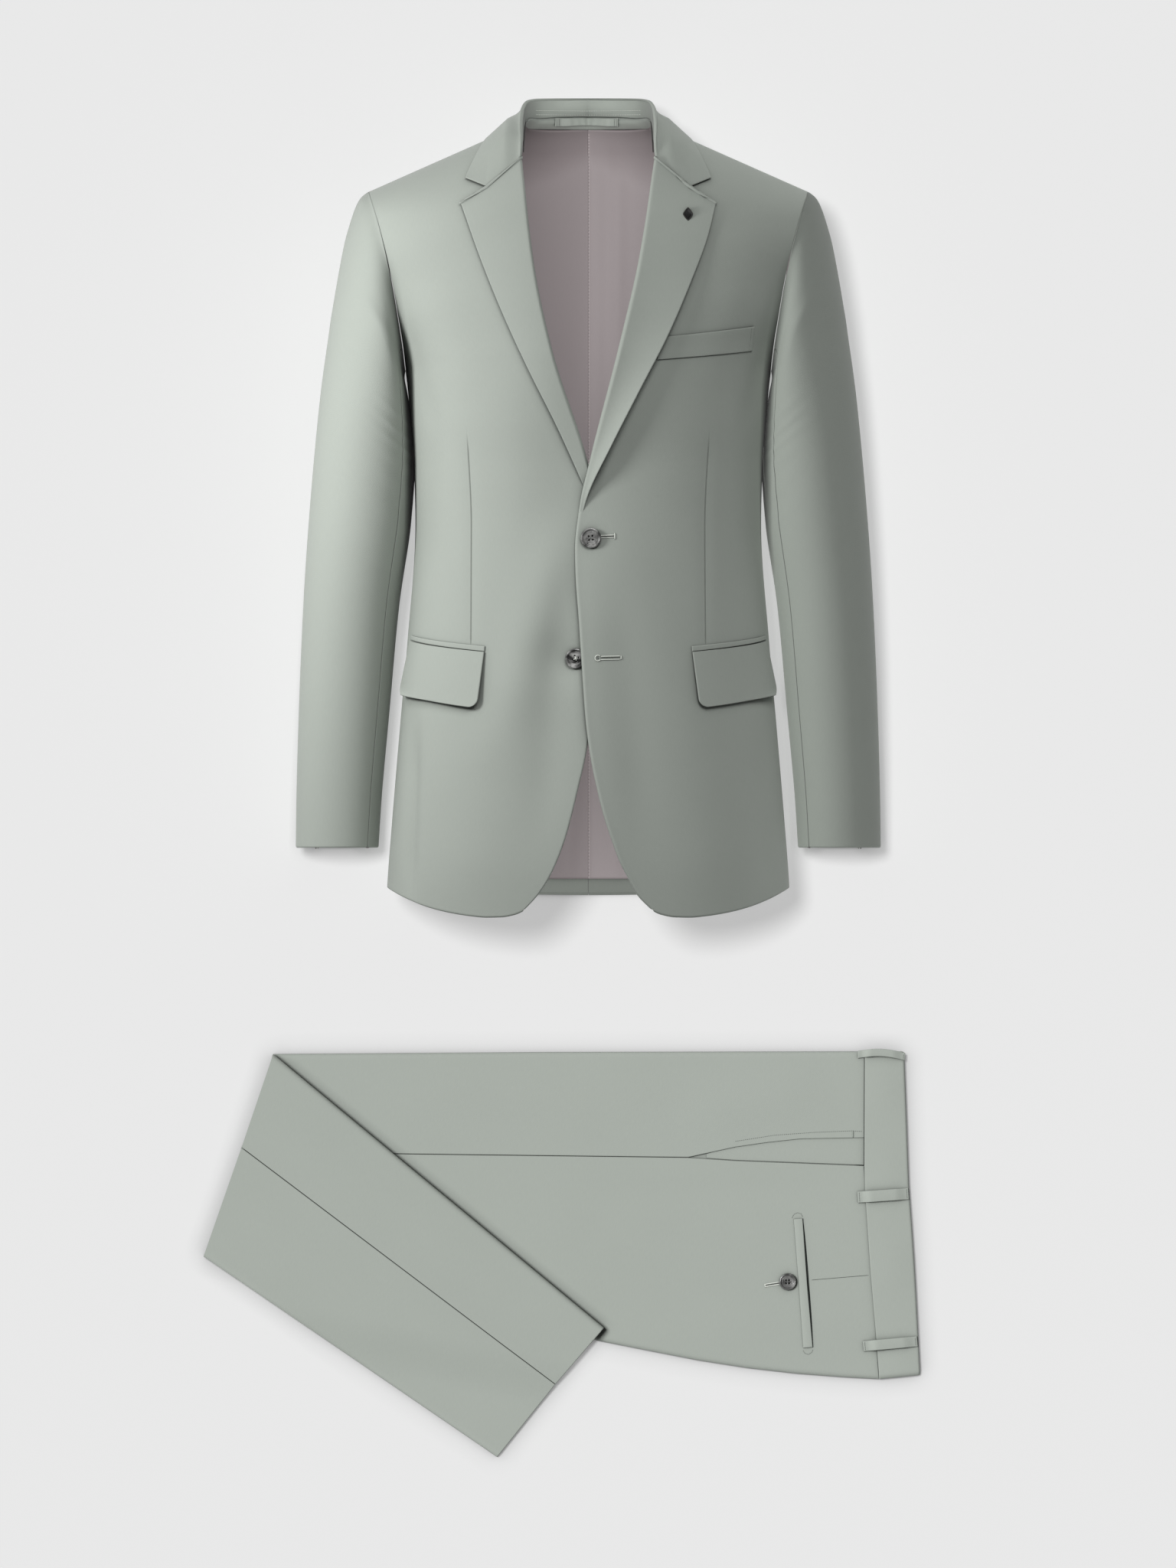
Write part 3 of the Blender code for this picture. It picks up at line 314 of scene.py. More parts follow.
ALL_EDGES = ["first_row", "last_row", "first_column", "last_column"]


def edge_distance(points, edges):
    """Distance of each grid point from the nearest of the named edges."""
    across = lengths_along(points, 1)
    up = lengths_along(points, 0)
    ways = {"first_column": across, "last_column": across[:, -1:] - across,
            "first_row": up, "last_row": up[-1:] - up}
    return np.minimum.reduce([ways[edge] for edge in edges])


def turned(points, edges, radius, outward=1):
    """The grid with its named edges rounded over, away from the side that shows."""
    close = np.clip(1 - edge_distance(points, edges) / radius, 0.0, 1.0)
    drop = radius * (1 - np.sqrt(1 - close**2)) * 0.9
    return points - grid_normals(points) * (outward * drop)[..., None]


def origin_x(garment):
    """How far to the right a garment's own zero lies, in mm."""
    return 0.0 if garment == "trousers" else JACKET_X


def placed(name, mesh, materials, garment, replaces=True):
    """The mesh as a piece of its garment, which replaces the solid of its name unless it is a mere detail."""
    for material in materials:
        mesh.materials.append(material)
    piece = bpy.data.objects.new(name, mesh)
    suit_pieces[garment].objects.link(piece)
    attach(piece, "root")
    if replaces:
        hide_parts(name)
    return piece


NARROWEST_SHEET = 12.0      # narrower strips are straps and edges rather than sheets, in mm
LEAST_UNROLLED = 0.35       # least area over length and width, because curved strips unroll narrower


def cloth(name, points, wall, materials, flip=False, side=1, faced_columns=0, faced_rows=0,
          garment="jacket", replaces=True):
    """A piece of cloth from a grid in mm: its outer face shows materials[0], its inside materials[1].
    Its first columns and rows, as many as faced, show the outer cloth inside too."""
    points = points * np.array([side, 1.0, 1.0]) + np.array([origin_x(garment), 0.0, 0.0])
    flip = flip != (side < 0)
    n_rows, n_columns = points.shape[:2]
    mesh = bpy.data.meshes.new(name)
    index = np.arange(n_rows * n_columns).reshape(n_rows, n_columns)
    faces = np.stack([index[:-1, :-1], index[:-1, 1:], index[1:, 1:], index[1:, :-1]], axis=-1).reshape(-1, 4)
    faced = (np.arange(n_columns - 1)[None] < faced_columns) | (np.arange(n_rows - 1)[:, None] < faced_rows)
    if flip:
        faces = faces[:, ::-1]
    mesh.vertices.add(n_rows * n_columns)
    mesh.vertices.foreach_set("co", (points * MM).reshape(-1))
    mesh.loops.add(faces.size)
    mesh.loops.foreach_set("vertex_index", faces.reshape(-1))
    mesh.polygons.add(len(faces))
    mesh.polygons.foreach_set("loop_start", np.arange(0, faces.size, 4))
    mesh.polygons.foreach_set("loop_total", np.full(len(faces), 4))
    mesh.update(calc_edges=True)
    grain = np.stack([lengths_along(points, 1), lengths_along(points, 0)], axis=-1).reshape(-1, 2) * MM
    mesh.uv_layers.new(name="grain").data.foreach_set("uv", grain[faces.reshape(-1)].reshape(-1))
    mesh.polygons.foreach_set("material_index", np.where(faced, 2, 0).astype(np.int32).reshape(-1))
    mesh.shade_smooth()
    outer, inner = materials
    piece = placed(name, mesh, (outer, inner, outer, outer), garment, replaces)
    solidify = piece.modifiers.new("wall", "SOLIDIFY")
    solidify.thickness = wall * MM
    solidify.offset = -1.0
    solidify.material_offset = 1
    width, length = lengths_along(points, 1)[:, -1].max(), lengths_along(points, 0)[-1].max()
    if min(width, length) >= NARROWEST_SHEET:
        across, up = points[1:, 1:] - points[:-1, :-1], points[1:, :-1] - points[:-1, 1:]
        area = np.linalg.norm(np.cross(across, up), axis=-1).sum() / 2
        width = min(width, area / (LEAST_UNROLLED * length))
    return piece


def new_group(name, inputs, outputs):
    """An empty shader node group with named sockets, and its input and output nodes."""
    group = bpy.data.node_groups.new(name, "ShaderNodeTree")
    for label, kind, value in inputs:
        socket = group.interface.new_socket(label, in_out="INPUT", socket_type=kind)
        socket.default_value = value
    for label, kind in outputs:
        group.interface.new_socket(label, in_out="OUTPUT", socket_type=kind)
    return group, group.nodes.new("NodeGroupInput"), group.nodes.new("NodeGroupOutput")


def math_node(tree, operation, a, b=None, clamp=False):
    """A math node on sockets or numbers, returning its output socket."""
    values = {0: a} if b is None else {0: a, 1: b}
    return new_node(tree, "Math", values, operation=operation, use_clamp=clamp).outputs[0]


# The weave group: crossed yarns at their real pitch, with the slight change of colour from yarn to yarn
# that a worsted has, broad faint variation across the cloth, and painted shade of the weave's relief, which
# lightens its crests and darkens its hollows.
weave, weave_in, weave_out = new_group(
    "worsted_weave",
    [("Colour", "NodeSocketColor", (0.4, 0.43, 0.39, 1.0)), ("Pitch", "NodeSocketFloat", 0.5),
     ("Yarn contrast", "NodeSocketFloat", 0.1), ("Cloth variation", "NodeSocketFloat", 0.05)],
    [("Colour", "NodeSocketColor"), ("Height", "NodeSocketFloat"), ("Roughness", "NodeSocketFloat")])
grain_map = new_node(weave, "UVMap", uv_map="grain")
split = new_node(weave, "SeparateXYZ", {"Vector": grain_map.outputs[0]})
turns = math_node(weave, "DIVIDE", 2 * math.pi * 1000, weave_in.outputs["Pitch"])
warp, weft = [math_node(weave, "MULTIPLY", split.outputs[axis], turns) for axis in ("X", "Y")]
crossed = math_node(weave, "MULTIPLY", math_node(weave, "SINE", warp), math_node(weave, "SINE", weft))
diagonal = math_node(weave, "ADD", warp, weft)
twill = math_node(weave, "SINE", math_node(weave, "MULTIPLY", diagonal, 0.5))
height = math_node(weave, "ADD", math_node(weave, "MULTIPLY", crossed, 0.5),
                   math_node(weave, "MULTIPLY", twill, 0.5))
stretched = new_node(weave, "Mapping", {"Scale": (1400.0, 160.0, 1.0), "Vector": grain_map.outputs[0]})
yarns = new_node(weave, "TexNoise", {"Scale": 1.0, "Detail": 2.0, "Vector": stretched.outputs[0]})
place = new_node(weave, "TexCoord")
broad = new_node(weave, "TexNoise", {"Scale": 14.0, "Detail": 3.0, "Vector": place.outputs["Object"]})
yarn_part, broad_part = [
    math_node(weave, "MULTIPLY", math_node(weave, "SUBTRACT", noise.outputs["Fac"], 0.5),
              weave_in.outputs[amount])
    for noise, amount in ((yarns, "Yarn contrast"), (broad, "Cloth variation"))]
# Painted shade: the weave's height lightens the colour on its crests and darkens it in its hollows.
relief_shade_share = math_node(weave, "MULTIPLY", weave_in.outputs["Yarn contrast"], 0.25)
painted_relief_shade = math_node(weave, "MULTIPLY", height, relief_shade_share)
value = math_node(weave, "ADD", math_node(weave, "ADD", yarn_part, broad_part), painted_relief_shade)
shade = new_node(weave, "HueSaturation", {"Color": weave_in.outputs["Colour"],
                                          "Value": math_node(weave, "ADD", value, 1.0)})
yarn_roughness = math_node(weave, "MULTIPLY", yarns.outputs["Fac"], 0.2)
fill_inputs(weave, weave_out, {"Height": height, "Colour": shade.outputs["Color"],
                               "Roughness": math_node(weave, "ADD", yarn_roughness, 0.72, clamp=True)})


def woven_material(name, colour, pitch, contrast, variation, bump_depth, sheen, roughness=None, crease=0.012):
    """A cloth finish: the weave group with this cloth's own values, its relief as bump, a soft sheen, and
    painted shade, where ambient occlusion within the crease reach darkens its colour next to other parts.
    """
    material = bpy.data.materials.new(name)
    material.use_nodes = True
    tree = material.node_tree
    yarn = new_node(tree, "Group", node_tree=weave)
    fill_inputs(tree, yarn, {"Colour": colour, "Pitch": pitch, "Yarn contrast": contrast,
                             "Cloth variation": variation})
    bump = new_node(tree, "Bump", {"Strength": 0.6, "Distance": bump_depth * MM,
                                   "Height": yarn.outputs["Height"]})
    shaded = new_node(tree, "HueSaturation", {"Color": yarn.outputs["Colour"]})
    # Painted shade: ambient occlusion darkens the cloth's colour in creases, under lapels and flaps and
    # between parts.
    if crease > 0:
        painted_crease_shade = new_node(tree, "AmbientOcclusion", {"Distance": crease}, samples=8)
        fill_inputs(tree, shaded, {"Value": math_node(tree, "POWER", painted_crease_shade.outputs["AO"], 0.85)})
    fill_inputs(tree, tree.nodes["Principled BSDF"], {
        "Base Color": shaded.outputs["Color"], "Normal": bump.outputs["Normal"],
        "Roughness": yarn.outputs["Roughness"] if roughness is None else roughness,
        "Sheen Weight": sheen, "Sheen Roughness": 0.4, "Specular IOR Level": 0.25})
    return material


suiting = woven_material("sage_worsted", (0.392, 0.424, 0.385, 1.0), 0.55, 0.10, 0.035, 0.05, 0.12)
# The second satin is the same satin painted lighter: painted light for the lining half on the lit side.
satin, satin_painted_lighter = [
    woven_material(name, colour, 0.16, 0.05, 0.03, 0.012, 0.0, roughness=0.58, crease=0.0)
    for name, colour in (("mauve_satin", (0.262, 0.228, 0.232, 1.0)),
                         ("mauve_satin_painted_lighter", (0.322, 0.283, 0.288, 1.0)))]


def lap_dip(x, y):
    """How far the right front sinks near the centre, to pass under the left front."""
    depth = 3.4 + 3.6 * np.exp(-(((y - 115.0) / 24.0) ** 2))
    return depth * smoothstep(-78, -12, x) * (1 - smoothstep(325, 430, y)) * smoothstep(-60, 60, y)


def roof_heights(x_at, hem_y, roof, power, neck_y, low_shares, turns):
    """Heights along a body panel's columns: by share up to the roof, then by degrees over the shoulder."""
    top = np.full_like(hem_y, SHOULDER_TIP_Y)
    for _ in range(20):
        top = shoulder_y(x_at(top))
    base = top - roof
    rows = [blend(hem_y, base, share) for share in low_shares]
    spare = np.maximum(0.0, top - neck_y) / roof
    last_turn = np.degrees(np.arccos(np.minimum(1.0, 1 - spare)))
    for turn in turns:
        angle = np.radians(blend(last_turn, 90, turn / 90))
        y = base
        for _ in range(20):
            y = shoulder_y(x_at(y)) - roof * (1 - np.cos(angle) ** (2 / power))
        rows.append(y)
    return np.array(rows)


HEM_TURN_UP = 34.0
FRONT_WIDTH, FRONT_LENGTH = 230.0, 610.0
EDGE_ROLL = 0.5             # how far the left front's own edge stands up, from the turned-in layers under it
UNDER_LAPEL = 3.4           # how far back from the lapel's roll the front's own edge lies


def front_panel(name, side, edge, drape, dip):
    """A front, from its cutaway hem up and over the shoulder, with its dart."""
    dart_share = 0.5
    columns = ticks(FRONT_WIDTH, 2.6, [0, dart_share, 1])
    low_shares = ticks(FRONT_LENGTH, 3.4, [0])
    turns = np.linspace(88, 0.3, 40)

    def angles(y):
        width = through(BODY, y, "half_width")
        start = np.arcsin((through(edge, y, "x") + UNDER_LAPEL * smoothstep(255, 320, y)) / width)
        outer = through(ARMHOLE, y, "x") - SEAM / 2
        end = np.where(y > UNDERARM_Y, np.arcsin(np.minimum(1.0, outer / width)), math.radians(89.8))
        return width, start, end, np.arcsin(through(DART, y, "x") / width)

    def x_at(y):
        width, start, end, dart = angles(y)
        inner = blend(start, dart, columns / dart_share)
        outer = blend(dart, end, (columns - dart_share) / (1 - dart_share))
        return width * np.sin(np.where(columns < dart_share, inner, outer))

    hem_y = np.full(columns.shape, -125.0)
    for _ in range(6):
        hem_y = through(FRONT_HEM, x_at(hem_y), "y")
    y = roof_heights(x_at, hem_y, FRONT_ROOF, FRONT_ROUND, 999.0, low_shares, turns)
    x = x_at(y)
    width, _, _, dart = angles(y)
    from_dart = (np.arcsin(np.clip(x / width, -1, 1)) - dart) * width
    points = front_skin(x, y)
    if dip:
        points[..., 2] -= lap_dip(-x, y)
    sewn = smoothstep(DART_TOP_Y, DART_TOP_Y - 30, y) * smoothstep(DART[0].y - 3, DART[0].y, y)
    groove = sewn * (0.9 * np.exp(-((from_dart / 0.6) ** 2)) + 0.5 * np.exp(-((from_dart / 7.0) ** 2)))
    lift = drape_height(side * x, y, drape) * (1 - smoothstep(500, 560, y)) - groove
    if not dip:
        near_edge = np.exp(-((edge_distance(points, ["first_column"]) / 4.5) ** 2))
        lift = lift + EDGE_ROLL * near_edge * (1 - smoothstep(240, 290, y))
    points += grid_normals(points) * lift[..., None]
    points = turned(points, ["first_row"], TURN_RADIUS)
    points = turned(points, ["first_column"], 1.6 * TURN_RADIUS if side > 0 else TURN_RADIUS)
    points = turned(points, ["last_column", "last_row"], 0.9)
    cloth(name, points, CLOTH, (suiting, satin), side=side, faced_columns=int(np.sum(columns < 0.3)),
          faced_rows=int(np.sum(low_shares < HEM_TURN_UP / FRONT_LENGTH)))


front_panel("jacket_front_left", 1, LEFT_FRONT_EDGE, LEFT_FRONT_DRAPE, dip=False)
front_panel("jacket_front_right", -1, RIGHT_FRONT_EDGE, RIGHT_FRONT_DRAPE, dip=True)


# Backs and side panels. The back lies flat on the surface, in two halves with a seam on the centre, and a
# narrow panel under each arm joins it to the front. Seams are pressed open, so each shows as a fine groove
# between two turned edges.

BACK_HEM_CENTRE_Y, BACK_HEM_SIDE_Y, SIDE_HEM_Y = -113.2, -106.5, -105.5
NECK_SEAM_Y = 631.0
BACK_SEAM_TURN = 42.0       # degrees round the back corner at which back and side panel meet
BACK_CENTRE_GAP = 0.2
FACED_ROWS = 16             # of the grid, from the hem, that show the turned-up cloth inside


def back_skin(x, y):
    """Points of the back's outer face, which lies flat but for its corners and shoulders."""
    corner = through(BODY, y, "back_corner")
    flat = through(BODY, y, "half_width") - corner
    across = rounded(np.maximum(0.0, np.abs(x) - flat) / corner, BACK_ROUND)
    over = rounded(np.maximum(0.0, 1 - (shoulder_y(x) - y) / BACK_ROOF), BACK_ROUND)
    return stacked(x, y, SIDE_Z * (1 - across * over))


def back_corner_x(y, turn):
    """How far out the back's corner is at a turn, in degrees, from flat towards the side seam."""
    corner = through(BODY, y, "back_corner")
    return through(BODY, y, "half_width") - corner + corner * np.sin(np.radians(turn))


def back_x(share, y):
    outer = back_corner_x(y, BACK_SEAM_TURN) - SEAM / 2
    outer = np.where(y > UNDERARM_Y, np.minimum(outer, through(ARMHOLE, y, "x") - SEAM / 2), outer)
    return blend(BACK_CENTRE_GAP, outer, share)


def back_heights(columns, low_shares, turns):
    hem_y = blend(BACK_HEM_CENTRE_Y, BACK_HEM_SIDE_Y, columns**2)
    return roof_heights(lambda y: back_x(columns, y), hem_y, BACK_ROOF, 2, NECK_SEAM_Y, low_shares, turns)


def underarm_y(turns):
    """Where the armhole crosses lines at turns round the back's corner."""
    low, high = np.full(turns.shape, UNDERARM_Y), np.full(turns.shape, 500.0)
    for _ in range(30):
        middle = (low + high) / 2
        beyond = through(ARMHOLE, middle, "x") < back_corner_x(middle, turns)
        low, high = np.where(beyond, low, middle), np.where(beyond, middle, high)
    return low


for word, side in SIDES:
    columns = ticks(160, 4.0, [0, 1])
    y = back_heights(columns, ticks(680, 5.0, [0]), np.linspace(86, 0.3, 24))
    points = turned(back_skin(back_x(columns, y), y), ["first_row"], TURN_RADIUS, outward=-1)
    cloth(f"jacket_back_{word}", points, CLOTH, (suiting, satin), flip=True, side=side, faced_rows=FACED_ROWS,
          garment="jacket_back")

    turns = blend(BACK_SEAM_TURN + 0.2, 89.85, ticks(55, 3.0, [0, 1]))
    hem_y = blend(BACK_HEM_SIDE_Y, SIDE_HEM_Y, (turns - BACK_SEAM_TURN) / 48)
    y = blend(hem_y, underarm_y(turns) - 1.0, ticks(500, 5.0, [0, 1])[:, None])
    points = turned(back_skin(back_corner_x(y, turns), y), ["first_column", "last_column"], 0.9, outward=-1)
    points = turned(points, ["first_row"], TURN_RADIUS, outward=-1)
    cloth(f"jacket_side_{word}", points, CLOTH, (suiting, satin), flip=True, side=side, faced_rows=FACED_ROWS)


# Back lining. Mauve satin, sewn to the facing at the neck and lying loose down the back, where it falls in
# soft folds either side of its centre seam, its left half painted lighter as painted light. Above the hem the
# turned-up suiting shows.

LINING_HEM_Y, LINING_NECK_Y = -97.5, 628.5
LINING_LIFT = 2.5
LINING_WALL = 0.8

Fold = namedtuple("Fold", "top_x top_y bottom_x bottom_y width height")
LINING_FOLDS = [Fold(*row) for row in (
    (9, 640, 8, 60, 7.0, 1.0),
    (29, 640, 26, 100, 7.0, 1.5),
    (-25, 620, -20, 200, 12.0, 0.6),
    (-46, 620, -34, 300, 14.0, 1.2),
    (58, 620, 50, 300, 9.0, 1.0),
    (-14, 30, -22, -97, 9.0, 1.8),
    (18, 40, 26, -97, 9.0, 1.8),
)]


def inside(skin, x, y, lift, outward):
    """Points off a skin by a lift along its normal, worked out from small steps in both directions."""
    step = 0.5
    normal = np.cross(skin(x + step, y) - skin(x - step, y), skin(x, y + step) - skin(x, y - step))
    normal /= np.linalg.norm(normal, axis=-1, keepdims=True)
    return skin(x, y) + normal * outward * np.asarray(lift)[..., None]


for word, side in SIDES:
    columns = ticks(160, 2.8, [0])
    columns = columns[columns < 0.93]
    heights = back_heights(columns, ticks(680, 3.5, [])[3:], np.linspace(86, 12, 22))
    first = np.full_like(columns, LINING_HEM_Y)
    y = np.vstack([first[None], heights])
    y = y[[0] + [i for i in range(1, len(y)) if LINING_HEM_Y + 1.5 < y[i, 0] < LINING_NECK_Y - 1.0]]
    reach = (y - y[:1]) / (y[-1:, :1] - y[:1, :1])
    y = y + (LINING_NECK_Y - y[-1, 0]) * np.clip(reach, 0, 1) ** 8 * smoothstep(92, 66, back_x(columns, y))
    x = back_x(columns, y)
    folds = drape_height(side * x, y, [Drape(*row) for row in LINING_FOLDS])
    held = smoothstep(LINING_NECK_Y, LINING_NECK_Y - 22, y)
    held = held * smoothstep(LINING_HEM_Y - 30, LINING_HEM_Y + 20, y)
    seam = (-0.6 if side > 0 else 0.0) * (1 - smoothstep(0, 4, x))
    loose = (folds + 0.8) * held * smoothstep(150, 100, x)
    lift = LINING_LIFT + 0.5 * smoothstep(600, 618, y) + LINING_WALL + loose - seam
    points = inside(back_skin, x, y, -np.maximum(lift, 1.6), -1)
    points[:, 0, 0] = 0.06
    lining_seam = points[:, 0] if side > 0 else lining_seam
    # The left half takes the lighter satin: painted light for the half that catches more light.
    half = satin_painted_lighter if side > 0 else satin
    cloth(f"back_lining_{word}", points, LINING_WALL, (half, half), side=side,
          garment="jacket_lining")


# Lapels. Each is the top of the front rolled outward over the break line, two layers of suiting on canvas.
# It is left soft at the roll and stands a little off the chest towards its outer edge, the upper lap's more
# than the other's.

LapelPoint = namedtuple("LapelPoint", "y x")
LEFT_LAPEL_EDGE = [LapelPoint(*row) for row in (
    (244.0, -7.0), (258.0, -4.4), (272.5, -0.6), (319.9, 22.0), (373.0, 49.5), (426.0, 77.0), (475.2, 98.2),
    (524.7, 116.5), (554.0, 123.2),
)]
RIGHT_LAPEL_EDGE = [LapelPoint(*row) for row in (
    (262.0, -4.0), (284.3, 6.0), (335.2, 29.1), (395.9, 59.5), (448.7, 83.6), (501.7, 104.8),
    (554.0, 123.1),
)]
LapelForm = namedtuple("LapelForm", "share roll trough edge")   # heights over the front, in mm
LEFT_LAPEL_FORM = [LapelForm(*row) for row in (
    (0.0, -1.7, -1.7, -1.7), (0.05, 0.8, 0.7, 1.2), (0.10, 3.2, 3.6, 5.6), (0.20, 5.4, 6.6, 13.0),
    (0.30, 6.0, 6.0, 13.5), (0.45, 6.2, 4.4, 11.0), (0.70, 5.6, 3.4, 7.0), (0.90, 4.6, 3.0, 3.6),
    (1.0, 4.2, 3.1, 3.4),
)]
RIGHT_LAPEL_FORM = [LapelForm(*row) for row in (
    (0.0, -1.7, -1.7, -1.7), (0.05, 1.2, 1.0, 1.2), (0.10, 3.8, 3.6, 3.8), (0.25, 4.8, 5.0, 4.6),
    (0.45, 5.2, 5.6, 4.4), (0.70, 5.0, 5.2, 3.8), (0.90, 4.4, 3.8, 3.4), (1.0, 4.2, 3.1, 3.2),
)]
GORGE_INNER_X, GORGE_INNER_Y = 64.2, 597.5
LAPEL_TIP_X, LAPEL_TIP_Y = 123.1, 553.5
GORGE_SAG = 3.0
GORGE_CORNER = 0.575        # share of the way along the gorge at which the notch opens
LAPEL_WALL = 1.9
ROLL_LOW = -1.9             # where the roll starts, inside the front
ROLL_POINTS = 11


def gorge_line(share_across):
    """The lapel's top edge, seen from above: the gorge seam, and past its corner the notch."""
    corner = np.where(share_across < GORGE_CORNER, share_across / GORGE_CORNER,
                      (1 - share_across) / (1 - GORGE_CORNER))
    return (blend(GORGE_INNER_X, LAPEL_TIP_X, share_across),
            blend(GORGE_INNER_Y, LAPEL_TIP_Y, share_across) - GORGE_SAG * corner)


def on_front(x, y, lift, side, drape, dip):
    """Points at a lift above the dressed front, straight above places on its own side."""
    points = front_skin(x, y)
    facing_up = (inside(front_skin, x, y, np.ones_like(y), 1) - points)[..., 2]
    lift = lift + drape_height(side * x, y, drape) * (1 - smoothstep(500, 560, y))
    points[..., 2] += lift / np.clip(facing_up, 0.5, 1.0)
    if dip:
        points[..., 2] -= lap_dip(-x, y)
    return points


def rolled_section(width, top, trough, edge, across_marks):
    """Distance from the roll line and height over the front, from inside the front to the leaf's edge."""
    roll_low = np.minimum(ROLL_LOW, top - 2.2 * LAPEL_WALL)
    radius = np.minimum((top - roll_low) / 2, 0.45 * width + 0.1)
    arc = np.radians(np.linspace(-78, 84, ROLL_POINTS))[None]
    arc_across, arc_lift = radius * (1 - np.cos(arc)), top - radius + radius * np.sin(arc)
    flat_across = blend(arc_across[:, -1:], width, across_marks)
    inner, outer = (1 - across_marks) ** 2.2, across_marks**2.2
    flat_lift = top * inner + trough * (1 - inner - outer) + edge * outer
    return np.hstack([arc_across, flat_across]), np.hstack([arc_lift, flat_lift])


LAPEL_MARKS = ticks(70, 2.2, [GORGE_CORNER, 1])[None, 1:]


def lapel(name, side, roll_line, outer_edge, form, drape, dip):
    shares = ticks(340, 2.2, [1])[:, None]
    bottom = outer_edge[0].y
    to_gorge = smoothstep(0.88, 1.0, shares)
    inner_y = blend(bottom, GORGE_INNER_Y, shares)
    inner_x = through(roll_line, inner_y, "x")
    outer_y = blend(bottom, LAPEL_TIP_Y, shares)
    outer_x = through(outer_edge, outer_y, "x")
    width = np.maximum(np.hypot(outer_x - inner_x, outer_y - inner_y), 0.4)
    roll, trough, edge = [through(form, shares, column) for column in LapelForm._fields[1:]]
    across, lift = rolled_section(width, roll, trough, edge, LAPEL_MARKS)
    gorge_x, gorge_y = gorge_line(across / width)
    x = blend(blend(inner_x, outer_x, across / width), gorge_x, to_gorge)
    y = blend(blend(inner_y, outer_y, across / width), gorge_y, to_gorge)
    points = on_front(x, y, lift, side, drape, dip)
    points = turned(points, ["last_column", "last_row"], 1.0)
    cloth(name, points, LAPEL_WALL, (suiting, suiting), side=side)


lapel("lapel_left", 1, LEFT_FRONT_EDGE, LEFT_LAPEL_EDGE, LEFT_LAPEL_FORM, LEFT_FRONT_DRAPE, dip=False)
lapel("lapel_right", -1, RIGHT_FRONT_EDGE, RIGHT_LAPEL_EDGE, RIGHT_LAPEL_FORM, RIGHT_FRONT_DRAPE, dip=True)


# Collar. One cloth that stands up from the neck seam, turns over at its fold and falls on the shoulders,
# with its front ends sewn to the lapels along the gorge. The band inside is held by two rows of fine prick
# stitches.

CollarSection = namedtuple("CollarSection", "share fold_x fold_y fold_z neck_x neck_turn edge_x edge_turn")
COLLAR = [CollarSection(*row) for row in (
    (0.00, 0.0, 656.8, 29.0, 0.0, -53.0, 0.0, -70.0),
    (0.15, 26.0, 656.7, 32.0, 27.0, -38.0, 37.0, -60.0),
    (0.30, 49.0, 656.2, 47.0, 50.0, -24.0, 70.0, -45.0),
    (0.42, 60.3, 654.0, 72.0, 60.0, -11.0, 88.0, -27.0),
    (0.54, 65.6, 645.0, 104.0, 64.8, 1.0, 96.5, 1.0),
    (0.68, 66.6, 632.0, 132.0, 65.4, 20.0, 103.5, 23.0),
    (0.84, 65.8, 615.0, 156.0, 65.2, 40.0, 111.0, 40.0),
    (1.00, 64.6, 601.4, 172.5, 64.6, 52.0, 118.5, 50.5),
)]
NECK_AXIS_Z = 115.0
COLLAR_WALL = 1.5
COLLAR_BAND_GAP = 3.8       # between the fold's outer face and the stand
COLLAR_TIP = (118.5, 578.0)
LEAF_CORNER = 0.62          # share of the way down the leaf at which its free end begins
LEAF_START = 2.9            # where the leaf begins, past the lapel's roll
BELOW_ROLL = 0.45           # share of stand and fold that lies hidden under the roll at the gorge
GORGE_SEAM = 0.25


def shoulder_skin(x, turn):
    """Points of the jacket's outer face by their turn, in degrees, over the shoulder: front positive."""
    angle = np.radians(np.abs(turn))
    front = np.asarray(turn) > 0
    power, roof = np.where(front, FRONT_ROUND, BACK_ROUND), np.where(front, FRONT_ROOF, BACK_ROOF)
    y = shoulder_y(x) - roof * (1 - np.cos(angle) ** (2 / power))
    over = np.sin(angle) ** (2 / power)
    width = through(BODY, y, "half_width")
    reach = (through(BODY, y, "front_z") - SIDE_Z) * rounded(x / width, FRONT_ROUND)
    return stacked(x, y, np.where(front, SIDE_Z + reach * over, SIDE_Z * (1 - over)))


def unit(vectors):
    return vectors / np.maximum(np.linalg.norm(vectors, axis=-1, keepdims=True), 1e-9)


shares = np.linspace(-1, 1, 181)[:, None]
near = np.sqrt(shares**2 + 0.0016) - 0.04 * (1 - np.abs(shares))      # share from the centre, eased there
fold_x, fold_y, fold_z, neck_x, neck_turn, edge_x, edge_turn = [
    through(COLLAR, near, name) for name in CollarSection._fields[1:]]
fold_z = fold_z + 9.0 * smoothstep(0.42, 0.62, near) * (1 - smoothstep(0.84, 1.0, near))
fold = stacked(fold_x, fold_y, fold_z)
inward = unit(stacked(-fold_x, 0.0, NECK_AXIS_Z - fold_z))
to_side = smoothstep(0.15, 0.4, near)
stand_top = fold + inward * COLLAR_BAND_GAP + np.array([0, -1.0, 0])
rise = 4.6 * (1 - smoothstep(0.4, 0.6, near))
stand_bottom = (shoulder_skin(neck_x, neck_turn) + stacked(0.0, rise, 0.0)
                + inward * blend(1.6, 4.0, to_side)[..., None])
stand_bottom = blend(stand_bottom, stand_top, 0.75 * smoothstep(0.62, 1.0, near)[..., None])
to_end = smoothstep(0.8, 1.0, near)
up = unit(stand_top - stand_bottom)
radius = np.linalg.norm(stand_top - fold, axis=-1, keepdims=True) / 2
stand_top, fold_side = stand_top - up * radius, fold - up * radius

down = ticks(26, 1.6, [])[None, ::-1]
stand = blend(stand_top, stand_bottom, down[..., None])
arc = np.radians(np.linspace(0, 180, 13))[None, 1:-1, None]
centre = (stand_top + fold_side) / 2
turn_over = centre + (stand_top - centre) * np.cos(arc) + up * radius * np.sin(arc)

